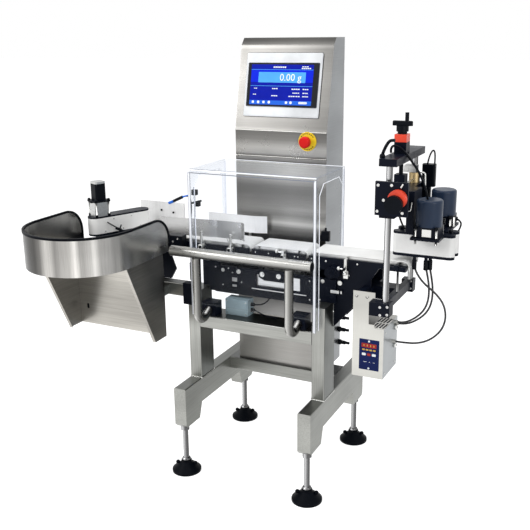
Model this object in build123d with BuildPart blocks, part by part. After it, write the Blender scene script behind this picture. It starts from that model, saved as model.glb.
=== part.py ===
from build123d import *
import os
from math import cos, hypot, pi, radians, sin, tan

# Checkweigher: a weighing belt between an infeed belt with side grippers and
# an outfeed belt with a sorting arm that turns products into a front chute.
# Sizes are in millimetres. Places are measured from the middle of the stand:
# x runs right along the line, y runs to the back, z runs up from the floor.

os.makedirs("parts", exist_ok=True)

# Stand
tube_width = 50
tube_depth = 100
beam_half_spacing = 253
beam_length = 558
beam_top = 353
stub_length = 100
stub_drop = 60
stub_slope = 20
stub_chamfer = 12
tube_round = 4
post_front = -154
post_top = 705
platform_top = 612
rear_cross_front = 80

# Levelling feet
foot_inset = 30
pad_radius = 56
pad_height = 45
pad_rim = 8
pad_neck_radius = 20
stem_radius = 10.5
nut_radius = 18
nut_height = 18

# Column cabinet with its sloped head
column_width = 372
column_middle = -6
column_front = 96
column_back = 267
column_top = 1615
head_height = 25
slope_height = 306
slope_top = column_top - head_height
slope_foot = slope_top - slope_height
slope_run = 64
head_round = 22
seam_heights = (1163, 1182)
seam_depth = 3
seam_width = 4

# Operator screen and stop button
bezel_width = 304
bezel_height = 233
bezel_rise = 4
bezel_up_slope = 166
bezel_middle = -9
screen_width = 287
screen_height = 162
screen_thickness = 3
stop_x = 105
stop_drop = 35
stop_plate_radius = 35
stop_plate_thickness = 4
stop_head_radius = 21
stop_head_length = 18
stop_stem_radius = 9
stop_stem_length = 16
stop_stem_gap = 0.5
stop_height = slope_foot - stop_drop

# Fits and small gaps
running_gap = 0.08
soft_gap = 0.3

# Belts
belt_top = 880
belt_width = 120
belt_thickness = 2
roller_radius = 15
axle_radius = 6
bed_thickness = 20
belt_gap = 9
weigh_left = -48
weigh_right = 172
infeed_right = 545
outfeed_left = -700

# Side plates of the conveyors
plate_inner = 64
plate_thickness = 8
plate_top = 868
band_height = 46
plate_outer = plate_inner + plate_thickness
infeed_plate_end = 453
infeed_plate_low = 612
mast_lobe_right = 415
mast_lobe_low = 710
rail_strip_height = 18
outfeed_lobe_left = -255
outfeed_lobe_right = -180
support_lobe_right = -463
support_lobe_low = 662
base_left = -199
base_right = 290
base_top = 792
base_slant = 25
base_low = 687
base_floor = 8
post_gap = 2
window_left = -25
window_right = 96
window_low = 730
window_high = 776
drive_cover_x = 283
drive_cover_drop = 48
drive_cover_radius = 22
drive_cover_thickness = 12
drive_cover_height = plate_top - drive_cover_drop

# Weighing cell between the base and the weighing conveyor
cell_left = -20
cell_right = 130
cell_half_width = 20
cell_foot = 50
cell_low = 745
cell_high = 785
saddle_thickness = 8

# Junction box and the brackets on the column
box_left = -143
box_width = 93
box_front = -100
box_depth = 44
box_height = 62
bracket_half_spacing = 100
bracket_width = 40
bracket_low = 700
bracket_high = 740

# Hand rail in front of the weighing section
rail_left = -293
rail_right = 260
rail_y = -230
rail_height = 875
rail_radius = 19
hanger_xs = (-190, 175)
hanger_radius = 16
hanger_bend = 36
hanger_tilt = radians(25)
hanger_corner = 596
hanger_end = -128
clamp_width = 56
clamp_front = -152
clamp_back = -100
clamp_height = 52

# Wind cover of clear sheet
cover_left = -240
cover_right = 255
cover_front = -186
cover_back = 85
cover_top = 1169
sheet = 8
cover_round = 12
front_leg_width = post_front - cover_front
rear_leg_width = 20
cover_head = 30
cover_corner = 35
front_leg_low = 622
front_sheet_low = 668
cover_clamp_low = 658
cover_clamp_high = 740

# Product guides
guide_thickness = 2
near_guide_y = -70
near_guide_bend = -190
near_guide_left = -420
near_guide_flare = 28
near_guide_lip = (-68, 16)
near_guide_right = -88
near_guide_low = 897
guide_height = 66
far_guide_y = 62
far_guide_low = 893
far_guide_lip = (-52, 13)
far_guide_right = -97
far_guide_left = -300
fence_left = -634
fence_right = -425
fence_y = 84
fence_thickness = 4
fence_low = 840
fence_high = 977
guide_rod_radius = 5
guide_block_width = 24
guide_block_depth = 20
guide_block_low = 835
guide_block_high = 865
guide_rod_rise = 20
guide_rod_share = 0.6
near_rod_top = near_guide_low + guide_rod_rise
far_rod_top = far_guide_low + guide_rod_rise
guide_peg_radius = 4
near_rods = (-251, -128)
far_rods = (-270, -130)

# Sorting arm over the outfeed belt
arm_back = (-583, 12)
arm_front = (-667, -178)
arm_motor_inset = 20
arm_thickness = 58
arm_plate = 6
arm_low = 886
arm_belt_height = 61
grip_belt_thickness = 3
arm_gear_width = 50
arm_gear_length = 58
arm_gear_height = 56
arm_flange_width = 68
arm_flange_thickness = 6
arm_motor_width = 44
arm_motor_height = 64
arm_cap_height = 8
arm_round = 7
arm_bracket_left = -690
arm_bracket_right = -620
arm_bracket_front = -190

# Reject chute and its curved guard
guard_middle = -513
guard_radius = 198
guard_curve_y = -455
guard_back = -205
guard_low = 865
guard_high = 998
guard_ear = 90
guard_sheet = 2
trim_lap = 2.5
trim_depth = 8
chute_back = -253
chute_low = 546
chute_high = 880
chute_foot_front = -325
chute_lean = 0.48
chute_hem = 12
slot_x = -672
slot_height = 616
slot_length = 22
slot_width = 10
support_beam_front = -122
support_beam_depth = 50
support_beam_height = 50
support_beam_left = -640
chute_arm_xs = (-620, -400)
chute_arm_width = 40
chute_arm_height = 35

# Mast of the infeed grippers
mast_x = 505
pole_radius = 10.5
front_pole_y = -187
rear_pole_y = 110
foot_low = 726
foot_high = 772
front_block = ((455, 525), (-207, -164))
rear_block = ((478, 520), (92, 128))
foot_beam = (491, 512)
foot_beam_inset = 14
spine_left = 300
spine_half_depth = 30
bridge_low = 1226
bridge_thickness = 24
bridge_half_width = 29
bridge_front = -210
bridge_back = 127

# Lift crank
screw_y = -60
screw_radius = 7
screw_low = 1062
counter_block = 41
counter_block_height = 37
counter_height = 25
crank_neck_radius = 15.5
crank_neck_height = 8
crank_hub_radius = 20
crank_hub_height = 26
crank_bar_length = 68
crank_bar_width = 16
crank_bar_thickness = 16
crank_bar_round = 4
knob_x = 14
knob_radius = 6.5
knob_height = 27

# Gripper carriage
carriage_half_width = 25
carriage_low = 1060
carriage_high = 1125
carriage_front = -207
carriage_back = 137
nut_block_width = 36
nut_block_high = 1180
face_left = 469
face_right = 576
face_low = carriage_low + 11
face_high = carriage_high + 55
face_thickness = 12
drop_arm_width = 26
drop_arm_front = -67
drop_arm_back = 25
canister_width = 46
canister_foot_width = 31
canister_depth = 30
canister_round = 8
canister_low = carriage_low - 20
canister_step = carriage_high - 13
canister_high = carriage_high + 65
bush_radius = 19
bush_height = 35

# Width wheel on the carriage face
wheel_x = 538
wheel_drop = 66
wheel_height = face_high - wheel_drop
wheel_radius = 29
wheel_length = 15
wheel_shaft_radius = 5
indicator_radius = 30
indicator_shift = (7, 15)
indicator_length = 16

# Gripper belts and their motors
grip_left = 478
grip_right = 690
grip_gap = 20
grip_thickness = 37
grip_low = 898
grip_low_plate = 10
grip_belt_height = 66
grip_top_plate = 8
motor_x = 610
motor_ys = (-72, 120)
motor_radius = 43
motor_height = 88
motor_round = 8
gear_width = 78
gear_height = 36
motor_plate_left = 560
motor_plate_right = 656
motor_plate_inner = 26
motor_plate_margin = 8

# Speed controller under the infeed conveyor
controller_left = 380
controller_right = 492
controller_front = -150
controller_back = 10
controller_low = 476
controller_high = 660
controller_sheet = 2
tab_right = 458
tab_neck_right = 437
tab_high = 787
tab_neck_high = 745
tab_neck_low = 672
hanger_block_left = 388
hanger_block_right = 412
hanger_block_low = 722
hanger_block_high = 780

# Cables from the gripper head to the controller
cable_radius = 3.5
gland_radius = 6
gland_length = 12
cable_exits = ((556, -34), (595, -31), (607, -21))
cable_entries = ((-44, 582), (-24, 648), (-10, 638))
loop_points = ((556, -34, 860), (570, -37, 832), (596, -40, 804), (633, -40, 779), (666, -40, 742), (676, -40, 692),
               (662, -40, 645), (626, -40, 606), (582, -42, 586), (532, -44, 582))
near_pair_points = ((595, -31, 862), (603, -30, 830), (610, -29, 790), (609, -28, 744), (596, -27, 706), (568, -25, 674),
                    (528, -24, 648))
far_pair_points = ((607, -21, 858), (614, -20, 826), (620, -18, 786), (619, -16, 738), (605, -14, 698), (574, -11, 664),
                   (530, -10, 638))

# The origin is the middle of the outline on the floor, left to right and front to back.
outline_left = guard_middle - guard_radius - trim_lap
outline_right = grip_right
outline_front = guard_curve_y - guard_radius - trim_lap
outline_back = beam_length / 2 - foot_inset + pad_radius
site_x = -(outline_left + outline_right) / 2
site_y = -(outline_front + outline_back) / 2


# Planes

def level(height, x=0, y=0):
    """Horizontal plane with its normal up."""
    return Plane(origin=(site_x + x, site_y + y, height))


def front_view(y, x=0, z=0):
    """Upright plane along the line: sketch x runs right, sketch y runs up, normal to the front."""
    return Plane(origin=(site_x + x, site_y + y, z), x_dir=(1, 0, 0), z_dir=(0, -1, 0))


def end_view(x, y=0, z=0):
    """Upright plane across the line: sketch x runs to the back, sketch y runs up, normal to the right."""
    return Plane(origin=(site_x + x, site_y + y, z), x_dir=(0, 1, 0), z_dir=(1, 0, 0))


# Shapes used by several pieces

def slab(x, y, z, mode=Mode.ADD):
    """Block between the given (low, high) ranges."""
    with BuildSketch(level(z[0])) as base:
        with Locations(((x[0] + x[1]) / 2, (y[0] + y[1]) / 2)):
            Rectangle(x[1] - x[0], y[1] - y[0])
    extrude(base.sketch, amount=z[1] - z[0], mode=mode)


def upright_rod(x, y, radius, z, mode=Mode.ADD):
    """Round bar standing between the heights z = (low, high)."""
    with BuildSketch(level(z[0], x, y)) as section:
        Circle(radius)
    extrude(section.sketch, amount=z[1] - z[0], mode=mode)


def cross_rod(x, z, radius, y, mode=Mode.ADD):
    """Round bar lying front to back between y = (front, back)."""
    with BuildSketch(front_view(y[1], x, z)) as section:
        Circle(radius)
    extrude(section.sketch, amount=y[1] - y[0], mode=mode)


def turned(profile_points, x, y):
    """Round piece on an upright axis, from (radius, height) points."""
    with BuildSketch(front_view(y, x)) as profile:
        with BuildLine():
            Polyline(*profile_points, close=True)
        make_face()
    revolve(profile.sketch, axis=Axis((site_x + x, site_y + y, 0), (0, 0, 1)))


def plate_pair(outline_points, inner, thickness, mode=Mode.ADD):
    """Two like plates, one on each side of the belt, from (x, height) points."""
    for front_face in (-inner - thickness, inner):
        with BuildSketch(front_view(front_face + thickness)) as outline:
            with BuildLine():
                Polyline(*outline_points, close=True)
            make_face()
        extrude(outline.sketch, amount=thickness, mode=mode)


def finish(piece, name):
    """Label a finished piece and write its file."""
    piece.part.label = name
    export_step(piece.part, f"parts/{name}.step")


# Stand

half_tube = tube_width / 2
half_beam = beam_length / 2
beam_low = beam_top - tube_depth
stub_low = beam_low - stub_drop
post_back = post_front + tube_depth

with BuildPart() as beams:
    for side in (-1, 1):
        with BuildSketch(end_view(side * beam_half_spacing - half_tube)):
            with BuildLine():
                Polyline(
                    (0, beam_top),
                    (half_beam, beam_top),
                    (half_beam, stub_low + stub_chamfer),
                    (half_beam - stub_chamfer, stub_low),
                    (half_beam - stub_length, stub_low),
                    (half_beam - stub_length - stub_slope, beam_low),
                    (0, beam_low),
                    close=True,
                )
            make_face()
            mirror(about=Plane.YZ)
        extrude(amount=tube_width)
    fillet(beams.edges().filter_by(Axis.Y), radius=tube_round)
finish(beams, "base_beams")

with BuildPart() as posts:
    for side in (-1, 1):
        middle = side * beam_half_spacing
        slab((middle - half_tube, middle + half_tube), (post_front, post_back), (beam_top, post_top))
    fillet(posts.edges().filter_by(Axis.Z), radius=tube_round)
finish(posts, "posts")

between_posts = (-beam_half_spacing + half_tube, beam_half_spacing - half_tube)

with BuildPart() as crosses:
    slab(between_posts, (post_front, post_back), (platform_top - tube_width, platform_top))
    slab(between_posts, (rear_cross_front, rear_cross_front + tube_depth), (beam_top - tube_width, beam_top))
    fillet(crosses.edges().filter_by(Axis.X), radius=tube_round)
finish(crosses, "cross_members")

foot_y = half_beam - foot_inset
foot_places = [(sx * beam_half_spacing, sy * foot_y) for sx in (-1, 1) for sy in (-1, 1)]

with BuildPart() as pads:
    for x, y in foot_places:
        turned(
            [(0, 0), (pad_radius, 0), (pad_radius, pad_rim), (pad_neck_radius, pad_height - pad_rim),
             (pad_neck_radius, pad_height), (0, pad_height)],
            x, y,
        )
finish(pads, "foot_pads")

with BuildPart() as stems:
    for x, y in foot_places:
        upright_rod(x, y, stem_radius, (pad_height, stub_low))
        with BuildSketch(level(stub_low - nut_height, x, y)):
            RegularPolygon(nut_radius, 6)
        extrude(amount=nut_height)
finish(stems, "foot_stems")

# Column cabinet

column_left = column_middle - column_width / 2
column_right = column_middle + column_width / 2

with BuildPart() as column:
    with BuildSketch(end_view(column_left)):
        with BuildLine():
            Polyline(
                (column_front, beam_top),
                (column_front, slope_foot),
                (column_front + slope_run, slope_top),
                (column_front + slope_run + head_round, column_top),
                (column_back, column_top),
                (column_back, beam_top),
                close=True,
            )
        make_face()
    extrude(amount=column_width)
    for seam in seam_heights:
        slab((column_left, column_right), (column_front, column_front + seam_depth), (seam, seam + seam_width),
             mode=Mode.SUBTRACT)
finish(column, "column_cabinet")

slope_plane = Plane(
    origin=(site_x, site_y + column_front, slope_foot),
    x_dir=(1, 0, 0),
    z_dir=(0, -(slope_top - slope_foot), slope_run),
)

with BuildPart() as bezel:
    with BuildSketch(slope_plane):
        with Locations((bezel_middle, bezel_up_slope)):
            RectangleRounded(bezel_width, bezel_height, 6)
    extrude(amount=bezel_rise)
finish(bezel, "screen_bezel")

with BuildPart() as screen:
    with BuildSketch(slope_plane.offset(bezel_rise)):
        with Locations((bezel_middle, bezel_up_slope)):
            RectangleRounded(screen_width, screen_height, 4)
    extrude(amount=screen_thickness)
finish(screen, "touch_screen")

stop_plate_front = column_front - stop_plate_thickness
stop_head_back = stop_plate_front - stop_stem_length

with BuildPart() as stop_plate:
    cross_rod(stop_x, stop_height, stop_plate_radius, (stop_plate_front, column_front))
    cross_rod(stop_x, stop_height, stop_stem_radius + running_gap, (stop_plate_front, column_front),
              mode=Mode.SUBTRACT)
finish(stop_plate, "stop_button_plate")

with BuildPart() as stop_button:
    cross_rod(stop_x, stop_height, stop_stem_radius, (stop_head_back, stop_plate_front - stop_stem_gap))
    cross_rod(stop_x, stop_height, stop_head_radius, (stop_head_back - stop_head_length, stop_head_back))
    fillet(stop_button.faces().sort_by(Axis.Y)[0].edges(), radius=stop_head_length / 3)
finish(stop_button, "stop_button")

# Belts, rollers and beds

half_belt = belt_width / 2
belt_loop_height = 2 * (roller_radius + belt_thickness)
belt_axis = belt_top - belt_loop_height / 2
bed_high = belt_top - belt_thickness - running_gap
infeed_left = weigh_right + belt_gap
outfeed_right = weigh_left - belt_gap
band_low = plate_top - band_height
belt_spans = ((outfeed_left, outfeed_right), (weigh_left, weigh_right), (infeed_left, infeed_right))

with BuildPart() as belts:
    for left, right in belt_spans:
        with BuildSketch(front_view(half_belt)):
            with Locations(((left + right) / 2, belt_axis)):
                SlotOverall(right - left, belt_loop_height)
                SlotOverall(right - left - 2 * belt_thickness, belt_loop_height - 2 * belt_thickness,
                            mode=Mode.SUBTRACT)
        extrude(amount=belt_width)
finish(belts, "conveyor_belts")

with BuildPart() as rollers:
    for left, right in belt_spans:
        for x in (left + belt_loop_height / 2, right - belt_loop_height / 2):
            cross_rod(x, belt_axis, roller_radius - running_gap, (-half_belt, half_belt))
            cross_rod(x, belt_axis, axle_radius, (-plate_inner, plate_inner))
finish(rollers, "belt_rollers")

with BuildPart() as beds:
    for left, right in belt_spans:
        slab((left + belt_loop_height, right - belt_loop_height), (-plate_inner, plate_inner),
             (bed_high - bed_thickness, bed_high))
finish(beds, "belt_beds")

with BuildPart() as weigh_frame:
    plate_pair(
        [(weigh_left + post_gap, plate_top), (weigh_right - post_gap, plate_top),
         (weigh_right - post_gap, band_low), (weigh_left + post_gap, band_low)],
        plate_inner, plate_thickness,
    )
    slab((cell_right - cell_foot, cell_right), (-plate_outer, plate_outer), (band_low - saddle_thickness, band_low))
finish(weigh_frame, "weigh_frame")

post_inner = beam_half_spacing - half_tube
post_outer = beam_half_spacing + half_tube

with BuildPart() as infeed_frame:
    plate_pair(
        [(infeed_left, plate_top),
         (infeed_right - 2 * post_gap, plate_top),
         (infeed_right - 2 * post_gap, plate_top - rail_strip_height),
         (infeed_plate_end - rail_strip_height / 2, plate_top - rail_strip_height),
         (mast_lobe_right, band_low - rail_strip_height),
         (mast_lobe_right, mast_lobe_low),
         (mast_lobe_right - tube_width, mast_lobe_low),
         (post_outer + post_gap, infeed_plate_low),
         (post_outer + post_gap, post_top),
         (post_inner + half_tube, post_top),
         (post_inner + half_tube, band_low),
         (infeed_left, band_low)],
        plate_inner, plate_thickness,
    )
    cross_rod(drive_cover_x, drive_cover_height, drive_cover_radius, (-plate_outer - drive_cover_thickness, -plate_outer))
finish(infeed_frame, "infeed_frame")

with BuildPart() as outfeed_frame:
    plate_pair(
        [(outfeed_right, plate_top),
         (outfeed_right, band_low),
         (outfeed_lobe_right, band_low),
         (outfeed_lobe_right, base_low),
         (-post_inner + post_gap, base_low),
         (-post_inner + post_gap, post_top),
         (outfeed_lobe_left, post_top),
         (outfeed_lobe_left, band_low),
         (support_lobe_right - tube_width, band_low),
         (support_lobe_right - tube_width / 2, band_low - tube_width),
         (support_lobe_right, post_top),
         (support_lobe_right - tube_width / 2, support_lobe_low),
         (support_beam_left, support_lobe_low),
         (outfeed_left, band_low),
         (outfeed_left, plate_top)],
        plate_inner, plate_thickness,
    )
finish(outfeed_frame, "outfeed_frame")

with BuildPart() as weigh_base:
    plate_pair(
        [(base_left + base_slant, base_top),
         (base_left, base_low),
         (post_inner - post_gap, base_low),
         (post_inner - post_gap, post_top),
         (base_right, post_top),
         (base_right, base_top)],
        plate_outer, plate_thickness,
    )
    slab((outfeed_lobe_right + post_gap, post_inner - post_gap), (-plate_outer, plate_outer),
         (base_low, base_low + base_floor))
    plate_pair(
        [(window_left, window_low), (window_right, window_low), (window_right, window_high), (window_left, window_high)],
        plate_outer, plate_thickness, mode=Mode.SUBTRACT,
    )
finish(weigh_base, "weigh_base")

with BuildPart() as cell:
    with BuildSketch(front_view(cell_half_width)):
        with BuildLine():
            Polyline(
                (cell_left, base_low + base_floor),
                (cell_left + cell_foot, base_low + base_floor),
                (cell_left + cell_foot, cell_low),
                (cell_right, cell_low),
                (cell_right, band_low - saddle_thickness),
                (cell_right - cell_foot, band_low - saddle_thickness),
                (cell_right - cell_foot, cell_high),
                (cell_left, cell_high),
                close=True,
            )
        make_face()
    extrude(amount=2 * cell_half_width)
finish(cell, "weighing_cell")

with BuildPart() as junction_box:
    slab((box_left, box_left + box_width), (box_front, box_front + box_depth), (platform_top, platform_top + box_height))
finish(junction_box, "junction_box")

with BuildPart() as brackets:
    for middle in (-bracket_half_spacing, bracket_half_spacing):
        slab((middle - bracket_width / 2, middle + bracket_width / 2), (plate_outer + plate_thickness, column_front),
             (bracket_low, bracket_high))
    slab((hanger_block_left, hanger_block_right), (controller_front + controller_sheet, -plate_outer),
         (hanger_block_low, hanger_block_high))
    slab((arm_bracket_left, arm_bracket_right), (arm_bracket_front, -plate_inner), (arm_low - arm_plate, arm_low))
    slab((arm_bracket_left, arm_bracket_right), (-plate_outer, -plate_inner), (plate_top, arm_low - arm_plate))
finish(brackets, "conveyor_brackets")

# Hand rail

hanger_end_height = hanger_corner + (hanger_end - rail_y) * tan(hanger_tilt)

with BuildPart() as hand_rail:
    with BuildSketch(end_view(rail_left, rail_y, rail_height)):
        Circle(rail_radius)
    extrude(amount=rail_right - rail_left)
    for x in hanger_xs:
        with BuildLine(end_view(x)) as hanger_path:
            FilletPolyline((rail_y, rail_height), (rail_y, hanger_corner), (hanger_end, hanger_end_height),
                           radius=hanger_bend)
        with BuildSketch(level(rail_height, x, rail_y)) as hanger_section:
            Circle(hanger_radius)
        sweep(hanger_section.sketch, path=hanger_path.line)
finish(hand_rail, "hand_rail")

with BuildPart() as clamps:
    for x in hanger_xs:
        slab((x - clamp_width / 2, x + clamp_width / 2), (clamp_front, clamp_back), (platform_top, platform_top + clamp_height))
        hanger_seat = Plane(origin=(site_x + x, site_y + hanger_end, hanger_end_height),
                            z_dir=(0, -cos(hanger_tilt), -sin(hanger_tilt)))
        with BuildSketch(hanger_seat):
            Circle(hanger_radius + running_gap)
        extrude(amount=clamp_back - clamp_front, mode=Mode.SUBTRACT)
    slab((-post_outer, cover_left), (cover_front, post_front), (cover_clamp_low, cover_clamp_high))
finish(clamps, "stand_clamps")

# Wind cover

with BuildPart() as cover_sheet:
    with BuildSketch(end_view(cover_left + sheet)):
        with BuildLine():
            FilletPolyline(
                (cover_back, cover_top),
                (cover_front, cover_top),
                (cover_front, front_sheet_low),
                radius=cover_round,
            )
            FilletPolyline(
                (cover_back, cover_top - sheet),
                (cover_front + sheet, cover_top - sheet),
                (cover_front + sheet, front_sheet_low),
                radius=cover_round - sheet,
            )
            Line((cover_back, cover_top), (cover_back, cover_top - sheet))
            Line((cover_front, front_sheet_low), (cover_front + sheet, front_sheet_low))
        make_face()
    extrude(amount=cover_right - cover_left - 2 * sheet)
finish(cover_sheet, "cover_sheet")

with BuildPart() as cover_ends:
    for left in (cover_left, cover_right - sheet):
        with BuildSketch(end_view(left)):
            with BuildLine():
                Polyline(
                    (cover_front, front_leg_low),
                    (cover_front, cover_top),
                    (cover_back, cover_top),
                    (cover_back, plate_top),
                    (cover_back - rear_leg_width, plate_top),
                    (cover_back - rear_leg_width, cover_top - cover_head - cover_corner),
                    (cover_back - rear_leg_width - cover_corner, cover_top - cover_head),
                    (cover_front + front_leg_width + cover_corner, cover_top - cover_head),
                    (cover_front + front_leg_width, cover_top - cover_head - cover_corner),
                    (cover_front + front_leg_width, front_leg_low),
                    close=True,
                )
            make_face()
        extrude(amount=sheet)
    fillet(cover_ends.edges().filter_by(Axis.X).group_by(Axis.Z)[-1], radius=cover_round)
finish(cover_ends, "cover_ends")

# Product guides

with BuildPart() as guides:
    with BuildSketch(level(near_guide_low)):
        with BuildLine():
            Polyline((near_guide_lip[0], near_guide_y - near_guide_lip[1]), (near_guide_right, near_guide_y),
                     (near_guide_bend, near_guide_y), (near_guide_left, near_guide_y - near_guide_flare))
        trace(line_width=guide_thickness)
    extrude(amount=guide_height)
    with BuildSketch(level(far_guide_low)):
        with BuildLine():
            Polyline((far_guide_lip[0], far_guide_y + far_guide_lip[1]), (far_guide_right, far_guide_y),
                     (far_guide_left, far_guide_y))
        trace(line_width=guide_thickness)
    extrude(amount=guide_height)
    slab((fence_left, fence_right), (fence_y, fence_y + fence_thickness), (fence_low, fence_high))
    for x in (fence_left + tube_width, fence_right - guide_block_width):
        slab((x, x + guide_block_width), (plate_outer, fence_y), (fence_low, guide_block_high))
finish(guides, "product_guides")

flare_slope = near_guide_flare / (near_guide_bend - near_guide_left)


def near_guide_front(x):
    """Front face of the near guide where a peg at x meets it."""
    flare = max(near_guide_bend - x + guide_peg_radius, 0) * flare_slope
    return near_guide_y - flare - guide_thickness / 2 - soft_gap


with BuildPart() as guide_brackets:
    for x in near_rods:
        rod_y = -plate_outer - guide_block_depth * guide_rod_share
        slab((x - guide_block_width / 2, x + guide_block_width / 2), (-plate_outer - guide_block_depth, -plate_outer),
             (guide_block_low, guide_block_high))
        upright_rod(x, rod_y, guide_rod_radius, (guide_block_high, near_rod_top))
        cross_rod(x, near_rod_top - 2 * guide_rod_radius, guide_peg_radius, (rod_y, near_guide_front(x)))
    for x in far_rods:
        rod_y = plate_outer + guide_block_depth * guide_rod_share
        slab((x - guide_block_width / 2, x + guide_block_width / 2), (plate_outer, plate_outer + guide_block_depth),
             (guide_block_low, guide_block_high))
        upright_rod(x, rod_y, guide_rod_radius, (guide_block_high, far_rod_top))
        cross_rod(x, far_rod_top - 2 * guide_rod_radius, guide_peg_radius,
                  (far_guide_y + guide_thickness / 2 + soft_gap, rod_y))
finish(guide_brackets, "guide_brackets")

# Sorting arm

arm_span = (arm_front[0] - arm_back[0], arm_front[1] - arm_back[1])
arm_length = hypot(*arm_span)
arm_middle = ((arm_front[0] + arm_back[0]) / 2, (arm_front[1] + arm_back[1]) / 2)
arm_belt_low = arm_low + arm_plate
arm_belt_high = arm_belt_low + arm_belt_height
arm_high = arm_belt_high + arm_plate


def arm_plane(height, place=arm_middle):
    """Horizontal plane with sketch x along the arm, towards its front end."""
    return Plane(origin=(site_x + place[0], site_y + place[1], height), x_dir=(*arm_span, 0), z_dir=(0, 0, 1))


with BuildPart() as arm_body:
    with BuildSketch(arm_plane(arm_low), arm_plane(arm_belt_high)):
        SlotCenterToCenter(arm_length, arm_thickness)
    extrude(amount=arm_plate)
    with BuildSketch(arm_plane(arm_low)):
        SlotCenterToCenter(arm_length, arm_thickness - 2 * (grip_belt_thickness + running_gap))
    extrude(amount=arm_high - arm_low)
finish(arm_body, "sorting_arm_body")

with BuildPart() as arm_belt:
    with BuildSketch(arm_plane(arm_belt_low + running_gap)):
        SlotCenterToCenter(arm_length, arm_thickness)
        SlotCenterToCenter(arm_length, arm_thickness - 2 * grip_belt_thickness, mode=Mode.SUBTRACT)
    extrude(amount=arm_belt_height - 2 * running_gap)
finish(arm_belt, "sorting_arm_belt")

gear_top = arm_high + arm_gear_height
flange_top = gear_top + arm_flange_thickness
arm_motor_top = flange_top + arm_motor_height

arm_motor_share = 1 - arm_motor_inset / arm_length
arm_motor_place = (arm_back[0] + arm_span[0] * arm_motor_share, arm_back[1] + arm_span[1] * arm_motor_share)

with BuildPart() as arm_castings:
    with BuildSketch(arm_plane(arm_high, arm_motor_place)):
        RectangleRounded(arm_gear_length, arm_gear_width, arm_round)
    extrude(amount=arm_gear_height)
    with BuildSketch(arm_plane(arm_motor_top, arm_motor_place)):
        RectangleRounded(arm_motor_width, arm_motor_width, arm_round)
    extrude(amount=arm_cap_height)
finish(arm_castings, "sorting_arm_castings")

with BuildPart() as arm_motor:
    with BuildSketch(arm_plane(gear_top, arm_motor_place)):
        RectangleRounded(arm_flange_width, arm_flange_width, arm_round)
    extrude(amount=arm_flange_thickness)
    with BuildSketch(arm_plane(flange_top, arm_motor_place)):
        RectangleRounded(arm_motor_width, arm_motor_width, arm_round)
    extrude(amount=arm_motor_height)
finish(arm_motor, "sorting_arm_motor")

# Reject chute: a horseshoe guard above two side plates and a back panel

guard_left = guard_middle - guard_radius
guard_right = guard_middle + guard_radius


def horseshoe(outer_radius, inner_radius):
    """Horseshoe in plan, open to the back; used inside a sketch."""
    Circle(outer_radius)
    with Locations((0, (guard_back - guard_curve_y) / 2)):
        Rectangle(2 * outer_radius, guard_back - guard_curve_y)
    Circle(inner_radius, mode=Mode.SUBTRACT)
    with Locations((0, (guard_back - guard_curve_y) / 2)):
        Rectangle(2 * inner_radius, guard_back - guard_curve_y, mode=Mode.SUBTRACT)


def guard_side(inset):
    """Side outline of the guard with a round ear at the back, drawn in from the edge by the inset."""
    front = outline_front - guard_radius
    back = guard_back - inset
    top = guard_high - inset
    ear = guard_ear - inset
    with BuildSketch(end_view(guard_left - 2 * trim_lap)) as side:
        with BuildLine():
            Polyline((back, top - ear), (back, guard_low), (front, guard_low), (front, top), (back - ear, top))
            TangentArc((back - ear, top), (back, top - ear), tangent=(1, 0))
        make_face()
    return side.sketch


with BuildPart() as guard_band:
    with BuildSketch(level(guard_low, guard_middle, guard_curve_y)):
        horseshoe(guard_radius, guard_radius - guard_sheet)
    extrude(amount=guard_high - guard_low)
    extrude(guard_side(trim_lap), amount=2 * guard_radius + 4 * trim_lap, mode=Mode.INTERSECT)
finish(guard_band, "guard_band")

with BuildPart() as guard_trim:
    with BuildSketch(level(guard_low, guard_middle, guard_curve_y)):
        horseshoe(guard_radius + trim_lap, guard_radius - guard_sheet - trim_lap)
    extrude(amount=guard_high - guard_low)
    extrude(guard_side(0), amount=2 * guard_radius + 4 * trim_lap, mode=Mode.INTERSECT)
    extrude(guard_side(trim_depth), amount=2 * guard_radius + 4 * trim_lap, mode=Mode.SUBTRACT)
    add(guard_band.part, mode=Mode.SUBTRACT)
finish(guard_trim, "guard_trim")

plate_x_left = guard_left + guard_sheet
plate_x_right = guard_right - 2 * guard_sheet
chute_top_front = chute_foot_front - (guard_low - chute_low) * chute_lean

with BuildPart() as chute:
    for x, hem_x in ((plate_x_left, plate_x_left), (plate_x_right, plate_x_right + guard_sheet - chute_hem)):
        with BuildSketch(end_view(x)):
            with BuildLine():
                Polyline(
                    (chute_back, chute_low),
                    (chute_foot_front, chute_low),
                    (chute_top_front, guard_low),
                    (guard_curve_y, guard_low),
                    (guard_curve_y, chute_high),
                    (chute_back, chute_high),
                    close=True,
                )
            make_face()
        extrude(amount=guard_sheet)
        with BuildSketch(end_view(hem_x)):
            with BuildLine():
                Polyline(
                    (chute_foot_front + guard_sheet, chute_low),
                    (chute_foot_front, chute_low),
                    (chute_top_front, guard_low),
                    (chute_top_front + guard_sheet, guard_low),
                    close=True,
                )
            make_face()
        extrude(amount=chute_hem)
    slab((plate_x_left, plate_x_right + guard_sheet), (chute_back, chute_back + guard_sheet), (chute_low, chute_high))
    with BuildSketch(front_view(chute_back + guard_sheet, slot_x, slot_height)):
        SlotOverall(slot_length, slot_width, rotation=90)
    extrude(amount=guard_sheet, mode=Mode.SUBTRACT)
finish(chute, "chute_box")

support_beam_back = support_beam_front + support_beam_depth
support_beam_top = support_lobe_low + support_beam_height

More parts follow.
